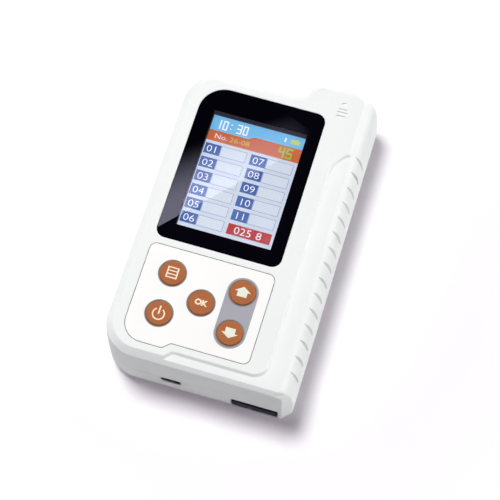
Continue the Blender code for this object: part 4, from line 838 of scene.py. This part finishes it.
# soft grey, without a clear highlight; the seals' grey is painted shade for the gap round each cap
greySealShade = mouldedPlastic("grey silicone rubber, painted gap shade", {
    "colour": "#8d877f", "shade": "#827c75", "mottle": 1.0, "grain": 0.3, "relief": 0.3, "gloss": (0.55, 0.7),
})


def makeFilmTape():
    # edge of the mounting tape, seen as a grey line in the gap round the film: the grey is painted shade for
    # that gap
    hair, gap = film["tapeHair"], panel["filmGap"]
    inner, outer = filmCorners(-hair), filmCorners(2 * hair - gap)
    low, high = filmLow.z - hair, filmLow.z + film["tapeHigh"]
    ring = meshObject("filmTape", stackOf([(low, outer), (high, outer)]), gapShadeTape)
    carve(ring, stackOf([(low - past, inner), (high + past, inner)]))
    finishPiece(ring, "housing")


makeFilmTape()

cap = {"radius": 4.72 * mm, "seal": 0.18 * mm, "sealDeep": 0.6 * mm, "dome": 0.35 * mm, "edge": 0.45 * mm,
       "steps": 8, "edgeSteps": 6, "flange": 6.1 * mm, "flangeDrop": 0.3 * mm, "flangeThick": 0.9 * mm,
       "stem": 1.5 * mm, "printLift": 0.015 * mm, "printThick": 0.03 * mm}
# even orange with a wide, weak highlight
orangeAbs = mouldedPlastic("orange ABS, satin", {
    "colour": "#b46c42", "shade": "#aa643b", "mottle": 3, "grain": 0.3, "relief": 0.1, "gloss": (0.35, 0.45),
})
# flat, opaque inks that stand a hair above the cap
printGrain = {"mottle": 1.5, "grain": 0.2, "relief": 0.08, "gloss": (0.4, 0.5)}
creamInk = mouldedPlastic("cream pad print", {"colour": "#feedd4", "shade": "#f7e3c6", **printGrain})
paleInk = mouldedPlastic("pale cream pad print", {"colour": "#f1f2e2", "shade": "#e9ead8", **printGrain})


def capHeight(radius, top):
    return top - cap["dome"] * (radius / cap["radius"]) ** 2


def makeCap(name):
    low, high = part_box(f"{name}_button")
    edge = cap["edge"]
    rim = cap["radius"] - edge
    profile = []
    for step in range(cap["steps"] + 1):
        radius = rim * step / cap["steps"]
        profile.append((radius, capHeight(radius, high.z - cap["printLift"])))
    rimHeight = profile[-1][1]
    profile += [(rim + edge * sine, rimHeight - edge * (1 - cosine))
                for sine, cosine in arc(cap["edgeSteps"])[1:]]
    flangeTop = case["roof"] - cap["flangeDrop"]
    flangeLow = flangeTop - cap["flangeThick"]
    profile += [(cap["radius"], flangeTop), (cap["flange"], flangeTop), (cap["flange"], flangeLow),
                (cap["stem"], flangeLow), (cap["stem"], low.z), (0, low.z)]
    bm = bmesh.new()
    addTurned(bm, profile, buttonPlaces[name])
    return meshObject(f"{name}Cap", bm, orangeAbs)


def makeSeals():
    # a grey lip round each cap that closes its gap, flush under the film's face; its grey stands in for the
    # shade in that gap: painted shade
    bm = bmesh.new()
    gap, soft = 0.02 * mm, 0.05 * mm
    inner, outer, lip = cap["radius"] + soft, panel["buttonHole"] - gap, panel["filmHole"] - gap
    top, seat = filmHigh.z - cap["seal"], filmLow.z - gap
    foot = top - cap["sealDeep"]
    for place in buttonPlaces.values():
        addTurned(bm, [(inner, foot), (inner, top - soft), (inner + soft, top), (lip, top), (lip, seat),
                       (outer, seat), (outer, foot), (inner, foot)], place)
    finishPiece(meshObject("keySeals", bm, greySealShade), "housing")


makeSeals()

# the prints' sizes, in mm
icon = {
    "pageWidth": 4.3, "lineWidth": 3.2, "linePitch": 1.3, "lineHalf": 0.43, "pageLip": 0.05,
    "ringRadius": 2.15, "ringStroke": 0.52, "ringGap": math.radians(32), "ringDrop": 0.5, "ringSteps": 28,
    "barHalf": 0.3, "barFoot": -0.6, "barTop": 2.7, "barRound": 0.1,
    "arrow": ((-1.85, -1.8), (1.85, -1.8), (1.85, 0.2), (3.1, 0.2), (0, 2.2), (-3.1, 0.2), (-1.85, 0.2)),
    "letters": {"height": 2.1, "stretch": 1.0, "swell": 0.16 * mm, "fineness": 5, "align": "CENTER"},
}


def flatShape(bm, corners, radius=0.0, segments=2):
    addRing(bm, 0, [(x * mm, y * mm, radius * mm, segments) for x, y in corners])


def flatBar(bm, left, right, front, back, radius=0.0):
    flatShape(bm, [(left, front), (right, front), (right, back), (left, back)], radius)


def menuIcon(bm):
    # a page with three lines, which are slots in the print
    half, lineHalf = icon["pageWidth"] / 2, icon["lineHalf"]
    lines = [(row * icon["linePitch"] - lineHalf, row * icon["linePitch"] + lineHalf) for row in (-1, 0, 1)]
    edges = [-half - icon["pageLip"], *(edge for line in lines for edge in line), half + icon["pageLip"]]
    for front, back in zip(edges[::2], edges[1::2]):
        flatBar(bm, -half, half, front, back)
    for front, back in lines:
        flatBar(bm, -half, -icon["lineWidth"] / 2, front, back)
        flatBar(bm, icon["lineWidth"] / 2, half, front, back)


def okIcon(bm):
    addWord(bm, "OK", (0, -icon["letters"]["height"] * mm / 2, 0), icon["letters"])


def powerIcon(bm):
    # an open ring with a bar in its gap
    radius, half, gap, drop = icon["ringRadius"], icon["ringStroke"] / 2, icon["ringGap"], icon["ringDrop"]
    start = math.pi / 2 + gap
    verts = [bm.verts.new((edge * mm * math.cos(start), edge * mm * math.sin(start) - drop * mm, 0))
             for edge in (radius - half, radius + half)]
    bmesh.ops.spin(bm, geom=verts + [bm.edges.new(verts)], cent=(0, -drop * mm, 0), axis=(0, 0, 1),
                   angle=2 * math.pi - 2 * gap, steps=icon["ringSteps"], use_duplicate=False)
    flatBar(bm, -icon["barHalf"], icon["barHalf"], icon["barFoot"], icon["barTop"], icon["barRound"])


def upIcon(bm):
    flatShape(bm, icon["arrow"])


def downIcon(bm):
    flatShape(bm, [(-x, -y) for x, y in icon["arrow"]])


icons = {"menu": menuIcon, "ok": okIcon, "power": powerIcon, "up": upIcon, "down": downIcon}


def makeIcon(name):
    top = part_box(f"{name}_button")[1].z
    bm = bmesh.new()
    icons[name](bm)
    bmesh.ops.triangulate(bm, faces=bm.faces[:])
    for way in (Vector((0, 1, 0)), Vector((1, 0, 0))):  # in strips, so that the print can follow the dome
        for offset in range(-3, 4):
            cutAcross(bm, way * offset * mm, way)
    raised = bmesh.ops.extrude_face_region(bm, geom=bm.faces[:])["geom"]
    for vert in bm.verts:
        vert.co.z = capHeight(vert.co.xy.length, top) - cap["printThick"]
    bmesh.ops.translate(bm, verts=[part for part in raised if isinstance(part, bmesh.types.BMVert)],
                        vec=(0, 0, cap["printThick"]))
    bmesh.ops.translate(bm, verts=bm.verts[:], vec=(*buttonPlaces[name], 0))
    return meshObject(f"{name}Icon", bm, paleInk if name in ("up", "down") else creamInk)


for name in buttonNames:
    finishPiece(makeCap(name), f"{name}_button", [f"{name}_button"], angle=40)
    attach(makeIcon(name), f"{name}_button")
print("keypad made")

plasticValues = ("colour", "shade", "mottle", "grain", "relief", "gloss", "shine")
plastics = {
    "black foam": ("#141414", "#1c1c1c", 1.0, 0.4, 0.8, (0.85, 0.95)),  # dull, open cells
    # the tray's colour is darkened further as painted shade for the slot it sits in
    "charcoal ABS, painted slot shade": ("#1b1d37", "#171930", 5, 0.3, 0.25, (0.6, 0.7), 0.25),  # matt blue-black
    "black ABS, moulded": ("#101120", "#0c0d1a", 6, 0.3, 0.25, (0.65, 0.75), 0.2),  # matt, darker still
    "black polycarbonate, moulded": ("#141416", "#1b1b1e", 4, 0.3, 0.3, (0.45, 0.6)),  # soft sheen
    "natural acetal": ("#ecebe4", "#e2e1d8", 3, 0.4, 0.1, (0.3, 0.4)),  # waxy milk white
    "grey rubber": ("#56565a", "#4c4c50", 2, 0.25, 0.5, (0.75, 0.9)),  # matt, slightly rough
    "green solder mask": ("#14603a", "#10522f", 2, 0.6, 0.2, (0.25, 0.35)),  # glossy lacquer on laminate
    "flat cable film": ("#e6e6de", "#d8d8d0", 1, 0.5, 0.15, (0.25, 0.35)),  # smooth polyester
    "pouch foil": ("#b9bcc4", "#a8abb4", 6, 1.5, 0.6, (0.25, 0.4)),  # laminated foil, faintly creased
}
metalValues = ("colour", "shade", "marks", "stretch", "gloss")
metals = {
    "zinc-plated steel": ("#b9bbc0", "#9fa2a8", 0.4, (1, 1, 5), (0.28, 0.42)),  # pale, slightly cloudy
    # the plating is drawn darker than bare nickel: painted shade for the socket's opening
    "stamped nickel-plated steel": ("#8c8a88", "#74726f", 0.5, (1, 5, 1), (0.22, 0.35)),  # warm, drawn lines
    "drawn steel can": ("#bcbcc0", "#a4a4aa", 0.6, (1, 1, 6), (0.25, 0.38)),  # lines along the draw
    "ground steel shaft": ("#c8c8cc", "#b2b2b8", 0.2, (1, 1, 0.2), (0.15, 0.25)),  # bright rings
}
finishes = {name: mouldedPlastic(name, dict(zip(plasticValues, look))) for name, look in plastics.items()}
finishes.update({name: workedMetal(name, dict(zip(metalValues, look))) for name, look in metals.items()})

socket = {
    "sink": 0.35 * mm, "collarSink": 0.3 * mm, "collarDeep": 1.5 * mm, "wall": 0.22 * mm, "liner": 0.1 * mm,
    "round": 0.6 * mm, "deep": 3.2 * mm, "gap": 0.01 * mm, "linerSink": 0.1 * mm, "tongueSink": 0.5 * mm,
    "tongueWidth": 3.8 * mm, "tongueThick": 0.6 * mm, "tongueLift": 0.15 * mm, "tongueRound": 0.1 * mm,
}


def barAlong(corners, front, back):
    bm = bmesh.new()
    addFromFront(bm, [(back, corners), (front, corners)])
    return bm


def socketCorners(inset, radius):
    return rectangle(socketLow.x + inset, socketHigh.x - inset, socketLow.z + inset, socketHigh.z - inset,
                     radius)


def makeSocket():
    # a folded metal shell, open to the front, with a collar round it, a dark insulator and a tongue
    black = finishes["black polycarbonate, moulded"]
    wall, radius = socket["wall"], socket["round"]
    front, back = caseFront + socket["sink"], socketHigh.y
    outside = socketCorners(0, radius)
    shell = meshObject("socketShell", barAlong(outside, front, back), finishes["stamped nickel-plated steel"])
    carve(shell, barAlong(socketCorners(wall, radius - wall), front - past, back - wall))
    finishPiece(shell, "housing", ["usb_connector"])
    near, deep = caseFront + socket["collarSink"], socket["collarDeep"]
    collar = meshObject("socketCollar", barAlong(holeCorners(socketHole), near, near + deep), black)
    carve(collar, barAlong(outside, near - past, near + 2 * deep))
    finishPiece(collar, "housing")
    gap = wall + socket["gap"]
    core = barAlong(socketCorners(gap, radius - wall), front + socket["linerSink"], back - gap)
    lining = meshObject("socketCore", core, black)
    gap += socket["liner"]
    carve(lining, barAlong(socketCorners(gap, radius - wall), front - past, front + socket["deep"]))
    finishPiece(lining, "housing")
    middle, level = (socketLow.x + socketHigh.x) / 2, (socketLow.z + socketHigh.z) / 2 + socket["tongueLift"]
    half, thick = socket["tongueWidth"] / 2, socket["tongueThick"] / 2
    corners = rectangle(middle - half, middle + half, level - thick, level + thick, socket["tongueRound"])
    tongue = barAlong(corners, front + socket["tongueSink"], front + socket["deep"] + socket["linerSink"])
    finishPiece(meshObject("socketTongue", tongue, black), "housing")


makeSocket()
print("socket made")

nodeFinishes = {
    "black foam": ["display_gasket"],
    # the tray carries painted slot shade in its colour
    "charcoal ABS, painted slot shade": ["strip_tray"],
    "black ABS, moulded": ["tray_guide"],
    "black polycarbonate, moulded": ["optical_head", "buzzer"],
    "natural acetal": ["drive_pinion"],
    "grey rubber": [f"foot_{index}" for index in (1, 2, 3, 4)],
    "green solder mask": ["front_board", "main_board", "sensor_board"],
    "flat cable film": ["ribbon_cable"],
    "pouch foil": ["battery"],
    "zinc-plated steel": [f"{kind}_screw_{index}" for kind in ("front_board", "main_board", "housing")
                          for index in (1, 2, 3, 4)],
    "stamped nickel-plated steel": ["usb_connector"] + [f"{name}_switch" for name in buttonNames],
    "drawn steel can": ["drive_motor"],
    "ground steel shaft": ["motor_shaft"],
}
given = {finishes[name]: nodes for name, nodes in nodeFinishes.items()}
given.update({
    whiteAbs: ["front_cover", "rear_cover"], blackPrint: ["display_lens"], panelFrame: ["display_module"],
    keypadFilm.data.materials[0]: ["keypad_overlay"], orangeAbs: [f"{name}_button" for name in buttonNames],
})
for material, nodes in given.items():
    for node in nodes:
        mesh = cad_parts[node].data
        mesh.materials.clear()
        mesh.materials.append(material)
print("materials given to", sum(len(nodes) for nodes in given.values()), "CAD nodes")

# metres and shares; the fill's levels and the grip's lobe go by the height of a direction
stage = {
    "floorSize": 6.0, "floorGlow": 0.14, "floorTint": "#ffe5ff", "paperNear": 0.09, "paperFar": 0.45,
    "paper": {"colour": "#f2f1f3", "shade": "#f0eff1"}, "paperCloud": 60 * mm,
    "keyPlace": (-0.32, 0.172, 1.2), "keySize": 0.44, "keyShare": 1.0,
    "fill": 0.075, "fillColour": "#efebff", "zenith": 0.02, "fadeFrom": 0.62, "fadeTo": 0.86,
    "gripFill": 9.6, "gripColour": "#fbfffa", "gripTurn": 0.35, "gripSide": 0.5, "gripHigh": 0.25,
}


def makeFloor():
    # white seamless paper: matt, with a glow that only camera, glossy and transmission rays see. It grows
    # with distance, so that far paper stays white in a low view
    bm = bmesh.new()
    bmesh.ops.create_grid(bm, x_segments=2, y_segments=2, size=stage["floorSize"] / 2)
    material, tree = emptyMaterial("white seamless paper")
    point = objectPoint(tree)
    cloud = addNode(tree, "TexNoise", {"Scale": 1 / stage["paperCloud"], "Detail": 2.0}, {"Vector": point})
    diffuse = addNode(tree, "BsdfDiffuse", links={"Color": twoTone(tree, stage["paper"], cloud)})
    rays = addNode(tree, "LightPath")
    seen = rays.outputs["Is Camera Ray"]
    for ray in ("Is Glossy Ray", "Is Transmission Ray"):
        seen = addNode(tree, "Math", {"operation": "MAXIMUM"}, {0: seen, 1: rays.outputs[ray]})
    away = addNode(tree, "VectorMath", {"operation": "LENGTH"}, {0: point})
    far = addNode(tree, "MapRange", {"From Min": stage["paperNear"], "From Max": stage["paperFar"]},
                  {"Value": away.outputs["Value"]})
    level = addNode(tree, "MapRange", {"To Min": stage["floorGlow"], "To Max": 1.0}, {"Value": far})
    glow = addNode(tree, "Math", {"operation": "MULTIPLY"}, {0: seen, 1: level})
    tint = twoTone(tree, {"colour": stage["floorTint"], "shade": "#ffffff"}, far)
    light = addNode(tree, "Emission", links={"Color": tint, "Strength": glow})
    both = addNode(tree, "AddShader", links={0: diffuse, 1: light})
    addNode(tree, "OutputMaterial", links={"Surface": both})
    meshObject("floor", bm, material)


def makeKeyLight():
    lamp = bpy.data.lights.new("key", "AREA")
    lamp.shape = "DISK"
    lamp.size = stage["keySize"]
    place = Vector(stage["keyPlace"])
    # at a share of 1 the lamp lights white paper at the origin to full white
    lamp.energy = stage["keyShare"] * math.pi ** 2 * place.length_squared
    thing = bpy.data.objects.new("key", lamp)
    thing.matrix_world = Matrix.Translation(place) @ (-place).to_track_quat("-Z", "Y").to_matrix().to_4x4()
    thing.visible_glossy = False
    bpy.context.scene.collection.objects.link(thing)


def makeSky():
    # even grey fill from the sides, dark overhead so that the lens stays black, and a low lobe of light
    # for the grip side
    world = bpy.data.worlds.new("studio fill")
    bpy.context.scene.world = world
    world.use_nodes = True
    tree = world.node_tree
    tree.nodes.clear()
    way = addNode(tree, "TexCoord")
    apart = addNode(tree, "SeparateXYZ", links={"Vector": way.outputs["Generated"]})
    turned = addNode(tree, "Math", {"operation": "MULTIPLY_ADD", 1: stage["gripTurn"]},
                     {0: apart.outputs["Y"], 2: apart.outputs["X"]})
    side = addNode(tree, "MapRange", {"From Min": stage["gripSide"], "From Max": 1.0}, {"Value": turned})
    low = addNode(tree, "MapRange", {"From Min": stage["gripHigh"], "From Max": 0.0},
                  {"Value": apart.outputs["Z"]})
    lobe = addNode(tree, "Math", {"operation": "MULTIPLY"}, {0: side, 1: low})
    glow = addNode(tree, "Math", {"operation": "MULTIPLY", 1: stage["gripFill"]}, {0: lobe})
    fade = addNode(tree, "MapRange", {
        "From Min": stage["fadeFrom"], "From Max": stage["fadeTo"],
        "To Min": stage["fill"], "To Max": stage["zenith"],
    }, {"Value": apart.outputs["Z"]})
    even = addNode(tree, "Background", {"Color": hexColour(stage["fillColour"])}, {"Strength": fade})
    warm = addNode(tree, "Background", {"Color": hexColour(stage["gripColour"])}, {"Strength": glow})
    both = addNode(tree, "AddShader", links={0: even, 1: warm})
    addNode(tree, "OutputWorld", links={"Surface": both})


# in metres; the glow ends over two bands, "far" along a slope and "end" along X
card = {
    "height": 1.03, "corners": ((-0.210, 0.374), (-0.080, 0.517), (-0.30, 0.62), (-0.42, 0.40)),
    "colour": "#e0deff", "strength": 4.68, "slope": -0.74, "far": (0.551, 0.626), "end": (-0.1435, -0.0855),
}


def makeReflector():
    # a white card that only reflections see: the pale wedge on the left of the lens
    bm = bmesh.new()
    addRing(bm, card["height"], [(x, y, 0, 1) for x, y in card["corners"]])
    material, tree = emptyMaterial("reflector card")
    place = addNode(tree, "TexCoord")
    apart = addNode(tree, "SeparateXYZ", links={"Vector": place.outputs["Object"]})
    along = addNode(tree, "Math", {"operation": "MULTIPLY_ADD", 1: card["slope"]},
                    {0: apart.outputs["X"], 2: apart.outputs["Y"]})
    faded = []
    for (start, stop), strength, value in ((card["far"], card["strength"], along),
                                           (card["end"], 1.0, apart.outputs["X"])):
        faded.append(addNode(tree, "MapRange", {
            "interpolation_type": "SMOOTHSTEP", "From Min": start, "From Max": stop,
            "To Min": strength, "To Max": 0.0,
        }, {"Value": value}))
    both = addNode(tree, "Math", {"operation": "MULTIPLY"}, {0: faded[0], 1: faded[1]})
    light = addNode(tree, "Emission", {"Color": hexColour(card["colour"])}, {"Strength": both})
    addNode(tree, "OutputMaterial", links={"Surface": light})
    thing = meshObject("reflectorCard", bm, material)
    for kind in ("camera", "diffuse", "transmission", "shadow", "volume_scatter"):
        setattr(thing, f"visible_{kind}", False)


# fitted to the photograph: sensor and lens in mm, the place in metres
photoCamera = {
    "sensor": 36.0, "lens": 120.34, "place": (0.073591, -0.232492, 0.597605),
    "right": (0.95748, 0.28849, -0.00169), "up": (-0.26667, 0.88727, 0.37635),
    "forward": (-0.11007, 0.35990, -0.92648),
}


def makeCamera():
    camera = bpy.data.cameras.new("camera")
    camera.sensor_width = photoCamera["sensor"]
    camera.lens = photoCamera["lens"]
    back = [-part for part in photoCamera["forward"]]
    rows = zip(photoCamera["right"], photoCamera["up"], back, photoCamera["place"])
    thing = bpy.data.objects.new("camera", camera)
    thing.matrix_world = Matrix([*rows, (0, 0, 0, 1)])
    bpy.context.scene.collection.objects.link(thing)
    bpy.context.scene.camera = thing


makeFloor()
makeKeyLight()
makeSky()
makeReflector()
makeCamera()
bpy.context.scene.view_settings.view_transform = "Standard"

print("stage made")
